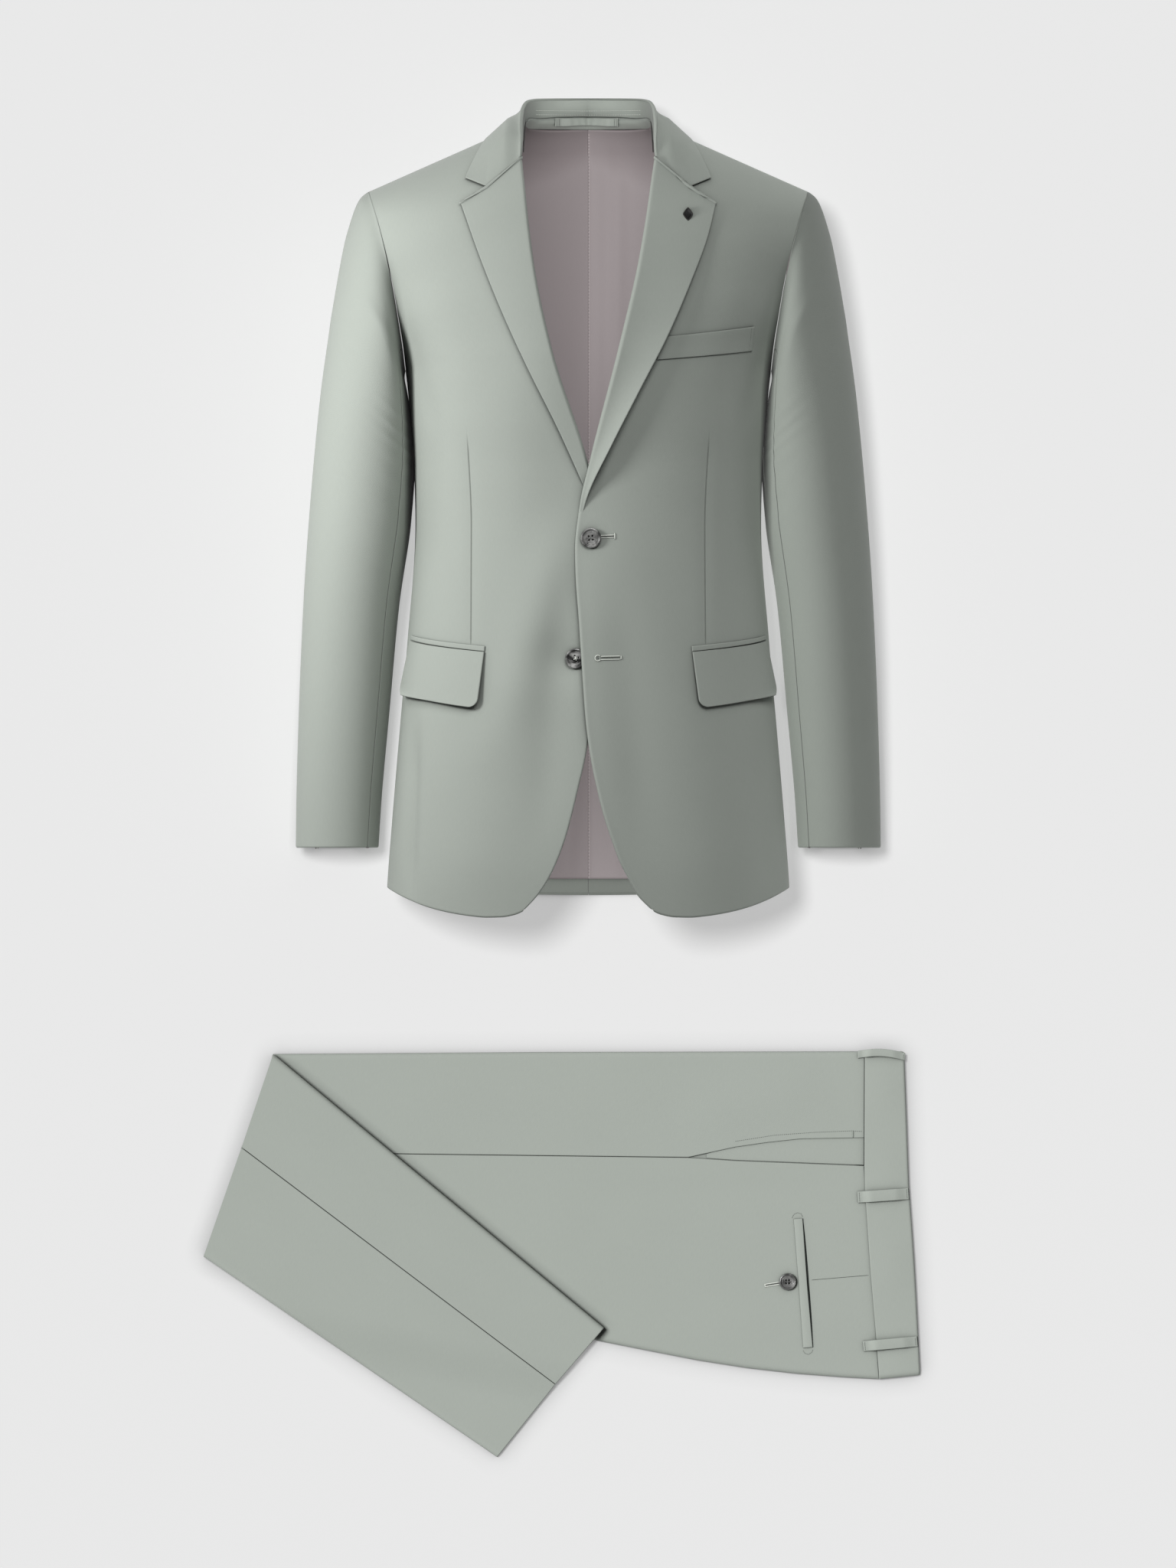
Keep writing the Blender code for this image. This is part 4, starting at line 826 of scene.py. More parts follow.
across = ticks(45, 1.6, [LEAF_CORNER, 1])[None, :]
leaf_x, leaf_turn = blend(neck_x, edge_x, across), blend(neck_turn, edge_turn, across)
lies = COLLAR_WALL + 0.3 + 12.0 * (1 - across) * smoothstep(0.3, 0.55, near) + smoothstep(0.62, 0.9, near)
laid = inside(shoulder_skin, leaf_x, leaf_turn, lies, -1)
leaf_width = np.linalg.norm(laid[:, -1:] - fold_side, axis=-1, keepdims=True)
hanging = fold_side - up * leaf_width * across[..., None] * 0.8
leaf = blend(hanging, laid, smoothstep(-0.02, 0.28, across)[..., None])
points = np.concatenate([stand, turn_over, leaf], axis=1)

# At the gorge the collar takes over the lapel's own section, then runs on to its free end.
gorge_width = math.hypot(LAPEL_TIP_X - GORGE_INNER_X, LAPEL_TIP_Y - GORGE_INNER_Y)
form = LEFT_LAPEL_FORM[-1]
end_across, end_lift = rolled_section(np.array([[gorge_width]]), form.roll, form.trough, form.edge, across)
end_across, end_lift = end_across[0], end_lift[0]
leaf_across = blend(LEAF_START, gorge_width * GORGE_CORNER, np.minimum(across[0] / LEAF_CORNER, 1.0))
leaf_lift = np.interp(leaf_across, end_across[ROLL_POINTS:], end_lift[ROLL_POINTS:])
section_marks = np.linspace(0, 1, stand.shape[1] + turn_over.shape[1])
roll_marks = np.clip((section_marks - BELOW_ROLL) / (1 - BELOW_ROLL), 0, 1)
roll_places, hidden = np.linspace(0, 1, ROLL_POINTS), np.clip(BELOW_ROLL - section_marks, 0, 1)
head_across = np.interp(roll_marks, roll_places, end_across[:ROLL_POINTS]) + 8 * hidden
head_lift = np.interp(roll_marks, roll_places, end_lift[:ROLL_POINTS]) - hidden
section_x, section_y = gorge_line(np.concatenate([head_across, leaf_across])[None] / gorge_width)
beyond = np.clip((across[0] - LEAF_CORNER) / (1 - LEAF_CORNER), 0, 1)
beyond = np.concatenate([np.zeros_like(section_marks), beyond])[None]
section_x, section_y = blend(section_x, COLLAR_TIP[0], beyond), blend(section_y, COLLAR_TIP[1], beyond)
section_lift = np.concatenate([head_lift, leaf_lift])[None]
end_row = on_front(section_x, section_y + GORGE_SEAM, section_lift, 1, [], False)
points = blend(points, end_row, to_end[..., None])
points[..., 0] *= np.where(shares < 0, -1.0, 1.0)
points = turned(points, ["first_row", "last_row", "last_column"], 1.0, outward=-1)
to_fold = stand.shape[1]
cloth("collar_stand", points[:, :to_fold + 1], COLLAR_WALL, (suiting, suiting), flip=True,
      garment="jacket_lining")
cloth("collar_fall", points[:, to_fold:], COLLAR_WALL, (suiting, suiting), flip=True)


# Inside the neck: a strip of suiting between lining and collar, two rows of prick stitches that hold the
# collar's band, and the hanger loop, a folded strip whose two ends are boxed down with stitches.

FACING_WALL = 1.0
FACING_SIDE_X = 62.0
FACING_LOW_Y = 625.0
FACING_LIFT = 5.0           # above the back's outer face, so that it lies on the lining's top edge
PRICK_ROWS_Y = [644.1, 640.1]
PRICK_STEP, PRICK_LENGTH, PRICK_RADIUS = 2.3, 1.2, 0.46
LOOP_LEFT_X, LOOP_RIGHT_X = -31.3, 28.6
LOOP_LOW_Y, LOOP_HIGH_Y = 628.3, 637.1
LOOP_SLACK = 2.6


def plain_material(name, colour, roughness, metallic=0.0):
    material = bpy.data.materials.new(name)
    material.use_nodes = True
    fill_inputs(material.node_tree, material.node_tree.nodes["Principled BSDF"],
                {"Base Color": colour, "Roughness": roughness, "Metallic": metallic})
    return material


def thread_material(name, colour):
    """Twisted sewing thread: fine bands of light and dark across the stitch."""
    material = plain_material(name, colour, 0.7)
    tree = material.node_tree
    place = new_node(tree, "TexCoord").outputs["Object"]
    bands = new_node(tree, "TexNoise", {"Scale": 2600.0, "Vector": place})
    value = math_node(tree, "ADD", math_node(tree, "MULTIPLY", bands.outputs["Fac"], 0.5), 0.75)
    shade = new_node(tree, "HueSaturation", {"Color": colour, "Value": value})
    fill_inputs(tree, tree.nodes["Principled BSDF"], {"Base Color": shade.outputs["Color"]})
    return material


# The dark thread is also laid as painted shade: in buttonhole slits and eyelets and along the trousers' back
# dart.
sage_thread, pale_thread, mauve_thread, dark_thread_and_painted_shade = [thread_material(name, colour) for name, colour in (
    ("sage_thread", (0.33, 0.36, 0.325, 1.0)), ("pale_thread", (0.74, 0.77, 0.71, 1.0)),
    ("mauve_thread", (0.62, 0.56, 0.56, 1.0)), ("dark_thread_and_painted_shade", (0.07, 0.075, 0.07, 1.0)))]


def on_surface(surface, x, y):
    """Points of a gridded surface nearest, as seen from above, to the given places."""
    flat = surface.reshape(-1, 3)
    found = []
    for place in np.broadcast(x, y):
        distance = (flat[:, 0] - place[0]) ** 2 + (flat[:, 1] - place[1]) ** 2
        near_points = np.argsort(distance)[:8]
        weight = 1 / (distance[near_points] + 0.02)
        found.append([place[0], place[1], float((flat[near_points, 2] * weight).sum() / weight.sum())])
    return np.array(found)


def thread_runs(name, runs, radius, material, garment="jacket", sides=6):
    """Stitches or beads of thread as one piece: tubes along runs of points, tapered at both ends."""
    verts, faces = [], []
    for run in runs:
        run = np.asarray(run, float)
        tangent = unit(np.gradient(run, axis=0))
        across = unit(np.cross(tangent, np.array([0.0, 0.0, 1.0])))
        above = np.cross(across, tangent)
        taper = np.ones(len(run))
        taper[0] = taper[-1] = 0.35
        first = len(verts)
        for k in range(len(run)):
            for s in range(sides):
                turn = 2 * math.pi * s / sides
                outward = across[k] * math.cos(turn) + above[k] * math.sin(turn)
                verts.append(run[k] + radius * taper[k] * outward)
        for k in range(len(run) - 1):
            for s in range(sides):
                a, b = first + k * sides + s, first + k * sides + (s + 1) % sides
                faces.append((a, b, b + sides, a + sides))
        faces.append(tuple(first + s for s in reversed(range(sides))))
        faces.append(tuple(first + (len(run) - 1) * sides + s for s in range(sides)))
    verts = (np.array(verts) + np.array([origin_x(garment), 0, 0])) * MM
    mesh = bpy.data.meshes.new(name)
    mesh.from_pydata(verts.tolist(), [], faces)
    mesh.shade_smooth()
    placed(name, mesh, [material], garment, replaces=False)


def stitches_along(points, step, length, rise):
    """Short runs, one to a stitch, spaced along a line of surface points."""
    points = np.asarray(points, float)
    reach = np.concatenate([[0.0], np.cumsum(np.linalg.norm(np.diff(points, axis=0), axis=1))])

    def at(distance):
        return np.array([np.interp(distance, reach, points[:, k]) for k in range(3)])
    runs = []
    for start in np.arange(0.3, reach[-1] - length, step):
        run = np.array([at(start), at(start + length / 2), at(start + length)])
        run[1, 2] += rise
        runs.append(run)
    return runs


facing_x = ticks(2 * FACING_SIDE_X, 2.0, [])[None] * 2 * FACING_SIDE_X - FACING_SIDE_X
facing_rise = np.linspace(0, 1, 9)[:, None]
half = len(shares) // 2
band_low = stand_bottom[half:, 0]
facing_top_y = np.interp(np.abs(facing_x), band_low[:, 0], band_low[:, 1]) + 1.5
facing_top_z = np.interp(np.abs(facing_x), band_low[:, 0], band_low[:, 2]) - 0.2
facing_y = blend(FACING_LOW_Y, facing_top_y, facing_rise)
facing = back_skin(np.broadcast_to(np.abs(facing_x), facing_y.shape), facing_y)
steep = (inside(back_skin, facing[..., 0], facing_y, np.ones_like(facing_y), 1) - facing)[..., 2]
facing[..., 0] = facing_x
facing_z = facing[..., 2] + FACING_LIFT / np.clip(np.abs(steep), 0.35, 1.0)
facing[..., 2] = blend(facing_z, facing_top_z, facing_rise**2)
facing = turned(facing, ["first_row"], 1.0)
cloth("back_neck_facing", facing, FACING_WALL, (suiting, satin), garment="jacket_lining")

neck_surface = np.concatenate([stand.reshape(-1, 3), facing.reshape(-1, 3)])
neck_surface = np.concatenate([neck_surface * np.array([-1.0, 1.0, 1.0]), neck_surface])
prick_runs = []
for row_y in PRICK_ROWS_Y:
    for start_x in np.arange(-50, 50, PRICK_STEP):
        run_x = np.array([start_x, start_x + PRICK_LENGTH / 2, start_x + PRICK_LENGTH])
        ends = on_surface(neck_surface, run_x, np.full(3, row_y))
        ends[:, 2] += np.array([0.1, 0.3, 0.1])
        prick_runs.append(ends)
thread_runs("collar_prick_stitches", prick_runs, PRICK_RADIUS, pale_thread, garment="jacket_lining")

seam_runs = stitches_along(lining_seam[::3] + np.array([0.5, 0.0, 0.1]), 3.1, 2.5, 0.1)
thread_runs("lining_seam_stitches", seam_runs, 0.42, mauve_thread, garment="jacket_lining")

loop_marks = ticks(LOOP_RIGHT_X - LOOP_LEFT_X, 1.5, [0, 1])
loop_x = blend(LOOP_LEFT_X, LOOP_RIGHT_X, loop_marks)
loose = smoothstep(0.08, 0.22, loop_marks) * (1 - smoothstep(0.78, 0.92, loop_marks))
bow = 1.6 * np.sin(math.pi * np.clip((loop_marks - 0.1) / 0.8, 0, 1)) ** 2
loop_rows = np.linspace(0, 1, 9)[:, None]
loop_y = blend(LOOP_LOW_Y, LOOP_HIGH_Y, loop_rows) + bow * (0.9 - 0.3 * loop_rows)
low_z, under, high_z = [on_surface(facing, loop_x, np.full_like(loop_x, row_y))[:, 2]
                        for row_y in (LOOP_LOW_Y, (LOOP_LOW_Y + LOOP_HIGH_Y) / 2, LOOP_HIGH_Y)]
loop_z = under + (high_z - low_z) * (loop_rows - 0.5) + 1.3 + LOOP_SLACK * loose
loop_z = loop_z + 0.5 * (1 - (2 * loop_rows - 1) ** 2)
loop = turned(stacked(loop_x, loop_y, loop_z), ALL_EDGES, 0.8)
hanger_loop = cloth("hanger_loop", loop, FACING_WALL, (suiting, suiting), garment="jacket_lining")
suit_pieces["jacket_loop"].objects.link(hanger_loop)

loop_runs = []
for edge in (LOOP_LEFT_X + 0.9, LOOP_LEFT_X + 3.4, LOOP_RIGHT_X - 0.9, LOOP_RIGHT_X - 3.4):
    line = on_surface(loop, np.full(9, edge), np.linspace(LOOP_LOW_Y + 0.8, LOOP_HIGH_Y - 0.6, 9))
    loop_runs += stitches_along(line + np.array([0, 0, 0.15]), 1.5, 1.0, 0.1)
thread_runs("hanger_loop_stitches", loop_runs, 0.24, dark_thread_and_painted_shade, garment="jacket_lining")


# Sleeves. Each is a filled-out tube of two panels, set into the armhole with its cap eased round the
# shoulder tip, and lies beside the body with the hollow of the elbow gathered in a few short folds along
# its front seam.

SleeveRing = namedtuple("SleeveRing", "station outer_x outer_y inner_x inner_y low_z high_z")
SLEEVE = [SleeveRing(*row) for row in (
    (0, 212.0, 565.0, 176.0, 392.0, 26, 163),
    (1, 223.5, 556.0, 177.5, 384.0, 20, 166),
    (2, 233.2, 524.0, 174.2, 370.0, 13, 164),
    (3, 243.4, 472.0, 170.6, 345.0, 7, 157),
    (4, 251.5, 420.0, 168.2, 320.0, 3, 150),
    (5, 258.0, 373.0, 167.2, 298.0, 1, 145),
    (6, 266.9, 282.0, 171.0, 245.0, 0, 137),
    (7, 274.5, 176.0, 182.5, 165.0, 0, 124),
    (8, 279.2, 69.9, 191.5, 68.0, 0, 111),
    (9, 281.8, -21.0, 199.5, -21.0, 0, 100),
    (10, 282.4, -67.5, 202.5, -67.5, 0, 95),
)]
FRONT_SLEEVE_SEAM, HIND_SLEEVE_SEAM = 138.0, -60.0   # degrees round a ring from its outer silhouette
SLEEVE_ROUND = 2.2
SLEEVE_WALL = 1.4
SLEEVE_LENGTH, SLEEVE_RADIUS = 640.0, 38.0
ARMHOLE_GAP = 0.35          # between the armhole's edge and the sleeve


def armhole_loop(turn):
    """The armhole seam in space, by degrees round it: 0 at the shoulder, 90 at the front."""
    angle = np.radians(turn)
    middle, half = (SHOULDER_TIP_Y + UNDERARM_Y) / 2, (SHOULDER_TIP_Y - UNDERARM_Y) / 2
    y = middle + half * np.cos(angle)
    x = through(ARMHOLE, y, "x")
    points = np.where((np.sin(angle) > 0)[..., None], front_skin(x, y), back_skin(x, y))
    return points + np.array([ARMHOLE_GAP, 0.0, 0.0])


def sleeve_skin(station, turn):
    """Points of a sleeve by station along the arm and degrees round from its outer edge."""
    outer_x, outer_y, inner_x, inner_y, low_z, high_z = [
        through(SLEEVE, station, name) for name in SleeveRing._fields[1:]]
    angle = np.radians(turn)
    reach = np.abs(np.sin(angle)) ** (2 / SLEEVE_ROUND) * np.sign(np.sin(angle))
    z = (low_z + high_z) / 2 + (high_z - low_z) / 2 * reach * np.where(reach < 0, 1.06, 1.0)
    around = stacked((outer_x + inner_x) / 2 + (outer_x - inner_x) / 2 * np.cos(angle),
                     (outer_y + inner_y) / 2 + (outer_y - inner_y) / 2 * np.cos(angle), np.maximum(low_z, z))
    share = np.maximum(0.0, 1 - station / 2.2) ** 1.6
    return blend(around, armhole_loop(turn), share[..., None])


# Folds of the sleeves: at a station, round the ring from one turn to another, with their slant in stations.
SleeveFold = namedtuple("SleeveFold", "station turn slant width height reach")
SLEEVE_FOLDS = [SleeveFold(*row) for row in (
    (3.6, 130, 0.5, 0.14, 0.5, 34),
    (4.15, 132, 0.35, 0.13, 0.6, 34),
    (4.7, 134, 0.2, 0.13, 0.7, 34),
    (5.15, 134, 0.0, 0.12, 0.6, 32),
    (5.55, 133, -0.2, 0.12, 0.5, 30),
    (6.0, 132, -0.3, 0.12, 0.4, 28),
    (2.6, 60, 1.0, 0.22, 1.2, 45),
)]


def sleeve_folds(station, turn):
    total = np.zeros(np.broadcast(station, turn).shape)
    for fold in SLEEVE_FOLDS:
        centre = fold.station + fold.slant * (fold.turn - turn) / 60
        total += (fold.height * np.exp(-(((station - centre) / fold.width) ** 2))
                  * np.exp(-(((turn - fold.turn) / fold.reach) ** 2)))
    return total


def sleeve(name, side, start, end):
    half_gap = math.degrees(SEAM / 2 / SLEEVE_RADIUS)
    turns = blend(start + half_gap, end - half_gap, ticks((end - start) * 0.75, 3.0, [0, 1]))
    stations = SLEEVE[-1].station * ticks(SLEEVE_LENGTH, 4.6, [1])[:, None]
    points = sleeve_skin(stations, turns)
    points += grid_normals(points) * sleeve_folds(stations, turns)[..., None]
    points = turned(points, ["first_column", "last_column"], 0.9)
    points = turned(points, ["last_row"], TURN_RADIUS)
    cloth(name, points, SLEEVE_WALL, (suiting, satin), side=side, garment="jacket_sleeves")


for word, side in SIDES:
    sleeve(f"sleeve_top_{word}", side, HIND_SLEEVE_SEAM, FRONT_SLEEVE_SEAM)
    sleeve(f"sleeve_under_{word}", side, FRONT_SLEEVE_SEAM, 360 + HIND_SLEEVE_SEAM)


# Hip pockets and breast welt. Each hip pocket has a narrow jet and a lined flap with rounded lower corners,
# which stands a little off the coat. The breast welt is a folded band, slightly open along its top.

FLAP_WALL = 2.0
FLAP_CORNER = 9.0
FLAP_TOP_INNER, FLAP_TOP_OUTER = (100.3, 121.2), (172.4, 132.4)
FLAP_LOW_INNER, FLAP_LOW_OUTER = (107.6, 67.3), (178.5, 81.5)
FLAP_OVERHANG = 4.5         # how far the flap stands out past the side
JET_WALL = 1.2
JET_LOW, JET_HIGH = ((100.0, 121.4), (171.6, 133.2)), ((99.6, 126.8), (171.0, 137.6))
WELT_LOW, WELT_HIGH = ((66.0, 401.9), (158.1, 410.7)), ((73.0, 424.3), (160.4, 434.4))


def front_angle(x, y):
    return np.arcsin(np.clip(x / through(BODY, y, "half_width"), -1, 1))


def on_front_between(start, end, share, lift, side, drape):
    """Points on a front between two lines of places, spaced evenly round the body, and raised."""
    y = blend(start[1], end[1], share)
    turn = blend(front_angle(start[0], start[1]), front_angle(end[0], end[1]), share)
    return on_front(through(BODY, y, "half_width") * np.sin(turn), y, lift + 0 * y, side, drape, False)


def strip_on_front(name, side, low, high, drape, lift, sewn, gape=0.0):
    """A strip on a front between two straight lines, standing off it along its top by its gape."""
    share = ticks(math.dist(low[0], low[1]), 2.2, [0, 1])[None]
    rise = ticks(math.dist(low[0], high[0]), 0.8, [0, 1])[:, None]
    start = (blend(low[0][0], high[0][0], rise), blend(low[0][1], high[0][1], rise))
    end = (blend(low[1][0], high[1][0], rise), blend(low[1][1], high[1][1], rise))
    height = JET_WALL + lift + gape * smoothstep(0.35, 1.0, rise)
    points = turned(on_front_between(start, end, share, height, side, drape), sewn, 0.9)
    cloth(name, points, JET_WALL, (suiting, satin), side=side)
    return points


def flap(name, side, drape):
    """A flap: flat under its jet, then a little away from the coat towards its lower edge and its sides."""
    share = ticks(72, 1.6, [0, 1])[None]
    down = ticks(54, 1.4, [0, 1])[:, None]
    height = math.dist(FLAP_TOP_INNER, FLAP_LOW_INNER)
    into = np.clip((down * height - (height - FLAP_CORNER)) / FLAP_CORNER, 0, 1)
    inset = FLAP_CORNER * (1 - np.sqrt(1 - into**2))
    start = [blend(FLAP_TOP_INNER[k], FLAP_LOW_INNER[k], down) + inset * into_flap
             for k, into_flap in enumerate((0.95, 0.12))]
    end = [blend(FLAP_TOP_OUTER[k], FLAP_LOW_OUTER[k], down) + inset * into_flap
           for k, into_flap in enumerate((-0.25, -0.1))]
    toward_front = (1 - share) ** 2 if side < 0 else (1 - share) ** 2 * 0.4
    lift = FLAP_WALL + 0.3 + down * (1.4 + 3.4 * toward_front + 2.2 * share**3)
    points = on_front_between(start, end, share, lift, side, drape)
    points[..., 0] += FLAP_OVERHANG * share**4 * down
    points = turned(points, ["first_column", "last_column", "last_row"], 1.0, outward=-1)
    cloth(name, points, FLAP_WALL, (suiting, satin), side=side, flip=True)


for word, side, drape in (("left", 1, LEFT_FRONT_DRAPE), ("right", -1, RIGHT_FRONT_DRAPE)):
    flap(f"pocket_flap_{word}", side, drape)
    strip_on_front(f"pocket_jet_{word}", side, JET_LOW, JET_HIGH, drape, 0.35, ALL_EDGES)
welt = strip_on_front("breast_welt", 1, WELT_LOW, WELT_HIGH, LEFT_FRONT_DRAPE, 0.3,
                      ["first_row", "last_row", "last_column"], gape=0.5)
welt_ends = []
for inset in (1.2, 3.0):
    line = on_surface(welt, np.linspace(WELT_LOW[1][0], WELT_HIGH[1][0], 12) - inset,
                      np.linspace(WELT_LOW[1][1] + 1.0, WELT_HIGH[1][1] - 1.0, 12))
    welt_ends += stitches_along(line + np.array([0, 0, 0.12]), 1.7, 1.1, 0.1)
thread_runs("welt_end_stitches", welt_ends, 0.2, sage_thread)


# Buttons, buttonholes and pin. Four-hole horn buttons, turned with a raised rim and polished, are sewn on
# with dark thread, the insides of their holes painted shade. The buttonholes are cut and bound in close
# thread, with dark tubes as painted shade in their slits and eyelets, and a small plain lozenge pin sits on
# the left lapel.

FRONT_BUTTON, POCKET_BUTTON = 20.0, 16.6     # diameters
HOLE_CIRCLE, HOLE_RADIUS, HOLE_DEPTH = 0.25, 1.0, 1.5      # the circle as a share of the button's diameter
UPPER_BUTTON, LOWER_BUTTON = (2.5, 230.6), (-12.1, 114.7)
UPPER_HOLE, LOWER_HOLE = ((11.0, 231.9), (25.5, 232.4)), ((9.3, 115.1), (31.6, 115.6))
PIN_CENTRE, PIN_HALF_WIDTH, PIN_HALF_HEIGHT = (96.0, 542.4), 4.9, 6.6
PIN_LIFT, PIN_POINTS, PIN_POWER = 3.6, 32, 1.25        # the power gives the lozenge its softened corners
PIN_PROFILE = [(1.0, 0.0), (1.0, 0.9), (0.94, 1.25), (0.80, 1.25), (0.74, 1.0), (0.40, 1.25), (0.0, 1.35)]


def horn_material(name, dark, middle, light):
    """Horn mottled in three tones of grey, polished under a thin coat."""
    material = plain_material(name, (0.1, 0.1, 0.095, 1.0), 0.28)
    tree = material.node_tree
    place = new_node(tree, "TexCoord").outputs["Object"]
    clouds = new_node(tree, "TexNoise", {"Scale": 75.0, "Detail": 5.0, "Distortion": 1.2, "Vector": place})
    mottle = new_node(tree, "ValToRGB", {"Fac": clouds.outputs["Fac"]})
    ramp = mottle.color_ramp.elements
    ramp[0].position, ramp[1].position = 0.38, 0.72
    ramp[0].color, ramp[1].color = (dark, dark, dark * 0.97, 1.0), (light, light, light * 0.97, 1.0)
    ramp.new(0.5).color = (middle, middle, middle * 0.97, 1.0)
    roughness = math_node(tree, "ADD", math_node(tree, "MULTIPLY", clouds.outputs["Fac"], 0.25), 0.16)
    fill_inputs(tree, tree.nodes["Principled BSDF"], {
        "Base Color": mottle.outputs["Color"], "Roughness": roughness,
        "Coat Weight": 0.5, "Coat Roughness": 0.15})
    return material


mottled_horn = horn_material("mottled_horn", 0.018, 0.078, 0.45)
grey_horn = horn_material("grey_horn", 0.07, 0.13, 0.26)
# Painted shade: near-black for the faces inside the buttons' sunk holes.
hole_painted_shade = plain_material("hole_painted_shade", (0.006, 0.006, 0.006, 1.0), 0.8)
BUTTON_PROFILE = [   # share of the radius, and height: the face, a groove, the rim and the rounded back
    (0.0, 2.0), (0.5, 2.05), (0.66, 2.25), (0.70, 1.95), (0.74, 2.1), (0.80, 3.0), (0.87, 3.35), (0.94, 3.1),
    (0.985, 2.4), (1.0, 1.7), (0.97, 0.9), (0.85, 0.3), (0.6, 0.0), (0.0, 0.0),
]


def ring_faces(rows, count, turn=1):
    """Faces between rings of points, each ring as many points as the count; -1 turns them over."""
    return [(i + j, i + (j + 1) % count, i + count + (j + 1) % count, i + count + j)[::turn]
            for i in range(0, (rows - 1) * count, count) for j in range(count)]


def button(name, centre, z, diameter, turn, garment="jacket", thread=None, material=mottled_horn):
    """A button turned from its profile, with four sunk holes whose insides are painted shade and, if given,
    thread crossing between them.
    """
    around = np.linspace(0, 2 * math.pi, 97)[:-1]
    profile_radius, profile_height = np.array(BUTTON_PROFILE).T
    steps = np.concatenate([np.linspace(0, 2, 22), np.arange(2.25, len(BUTTON_PROFILE) - 0.99, 0.25)])
    radius = np.interp(steps, np.arange(len(BUTTON_PROFILE)), profile_radius)[:, None] * diameter / 2
    scale = diameter / FRONT_BUTTON
    height = np.interp(steps, np.arange(len(BUTTON_PROFILE)), profile_height)[:, None] * scale
    x, y = radius * np.cos(around), radius * np.sin(around)
    holes = [(math.cos(turn + k * math.pi / 2) * HOLE_CIRCLE * diameter / 2,
              math.sin(turn + k * math.pi / 2) * HOLE_CIRCLE * diameter / 2) for k in range(4)]
    face = (steps < 3)[:, None]
    for hole_x, hole_y in holes:
        into_hole = 1 - smoothstep(0.75 * HOLE_RADIUS, 1.12 * HOLE_RADIUS, np.hypot(x - hole_x, y - hole_y))
        height = height - np.where(face, HOLE_DEPTH * into_hole, 0)
    points = stacked(x, y, height) + np.array([centre[0] + origin_x(garment), centre[1], z])
    count = len(around)
    mesh = bpy.data.meshes.new(name)
    mesh.from_pydata((points.reshape(-1, 3) * MM).tolist(), [], ring_faces(len(steps), count, -1))
    mesh.shade_smooth()
    sunk = np.minimum.reduce([np.hypot(x - hole_x, y - hole_y) for hole_x, hole_y in holes])
    sunk = np.where(face, sunk, 9.0)
    inner = (sunk[:-1] + sunk[1:]) / 2 < 0.85 * HOLE_RADIUS
    mesh.polygons.foreach_set("material_index", inner.reshape(-1).astype(np.int32))
    placed(name, mesh, (material, hole_painted_shade), garment)
    if thread:
        runs = []
        for start, end in ((holes[0], holes[2]), (holes[1], holes[3])):
            start, end = np.array(start), np.array(end)
            across = unit(np.array([[end[1] - start[1], start[0] - end[0]]]))[0]
            for aside in (-0.18, 0.18):
                line = [np.append(blend(start, end, t) + across * aside, h * scale) for t, h in
                        ((0.0, 0.9), (0.12, 1.9), (0.5, 2.25), (0.88, 1.9), (1.0, 0.9))]
                runs.append(np.array(line) + np.array([centre[0], centre[1], z]))
        thread_runs(name + "_thread", runs, 0.3, thread, garment)
    # The shank's threads lean by a hair, because a tube needs a direction across its own.
    shank = [np.array([[centre[0] + dx, centre[1] + dy + lean, z + dz]
                       for lean, dz in ((0.0, -1.4), (0.01, -0.5), (0.02, 0.5))])
             for dx, dy in ((0.5, 0.5), (-0.5, 0.5), (0.5, -0.5), (-0.5, -0.5))]
    thread_runs(name + "_shank", shank, 0.5, dark_thread_and_painted_shade, garment)


def front_height(x, y, side, lift):
    """Height of a dressed front below a place seen from above."""
    drape = LEFT_FRONT_DRAPE if side > 0 else RIGHT_FRONT_DRAPE
    return on_front(np.array([side * x]), np.array([y]), np.array([lift]), side, drape, side < 0)[0, 2]


button("button_front_upper", UPPER_BUTTON, front_height(*UPPER_BUTTON, 1, 0.9), FRONT_BUTTON, 0.9)
button("button_front_lower", LOWER_BUTTON, front_height(*LOWER_BUTTON, -1, 0.6), FRONT_BUTTON, 0.35,
       thread=pale_thread)


def bound_hole(name, start, end, height_at, eye_radius, garment="jacket", bar=3.4, gap=1.1):
    """A buttonhole: beads of close stitches with a dark tube between them as the slit's painted shade,
    an eyelet at its start with a dark tube in it as painted shade, a bar at its end.
    """
    start, end = np.array(start, float), np.array(end, float)
    along = unit((end - start)[None])[0]
    across = np.array([-along[1], along[0]])
    first = start + along * eye_radius
    lines = [[blend(first, end, t) + across * gap * s for t in np.linspace(0, 1, 12)] for s in (1, -1)]
    if eye_radius > 0:
        lines.append([start + eye_radius * (along * math.cos(a) + across * math.sin(a))
                      for a in np.linspace(0.45, 2 * math.pi - 0.45, 18)])
    lines.append([end + across * t for t in np.linspace(-bar, bar, 5)])
    runs = [np.array([[p[0], p[1], height_at(p[0], p[1]) + 0.35] for p in line]) for line in lines]
    thread_runs(name + "_edge", runs, 0.55, pale_thread, garment)
    if eye_radius > 0:
        # Painted shade: a dark tube sunk in the eyelet, where the hole's shadow falls.
        eye = [np.append(start + along * t, height_at(*start) - 0.5) for t in (-0.7, 0.0, 0.7)]
        thread_runs(name + "_eye", [eye], 1.2, dark_thread_and_painted_shade, garment, sides=12)
    # Painted shade: a dark tube along the slit, where the cut's shadow falls.
    slit = [blend(first - along * eye_radius * 0.4, end, t) for t in np.linspace(0, 1, 8)]
    dark = [np.array([[p[0], p[1], height_at(p[0], p[1]) + 0.1] for p in slit])]
    thread_runs(name + "_slit", dark, 0.3, dark_thread_and_painted_shade, garment)


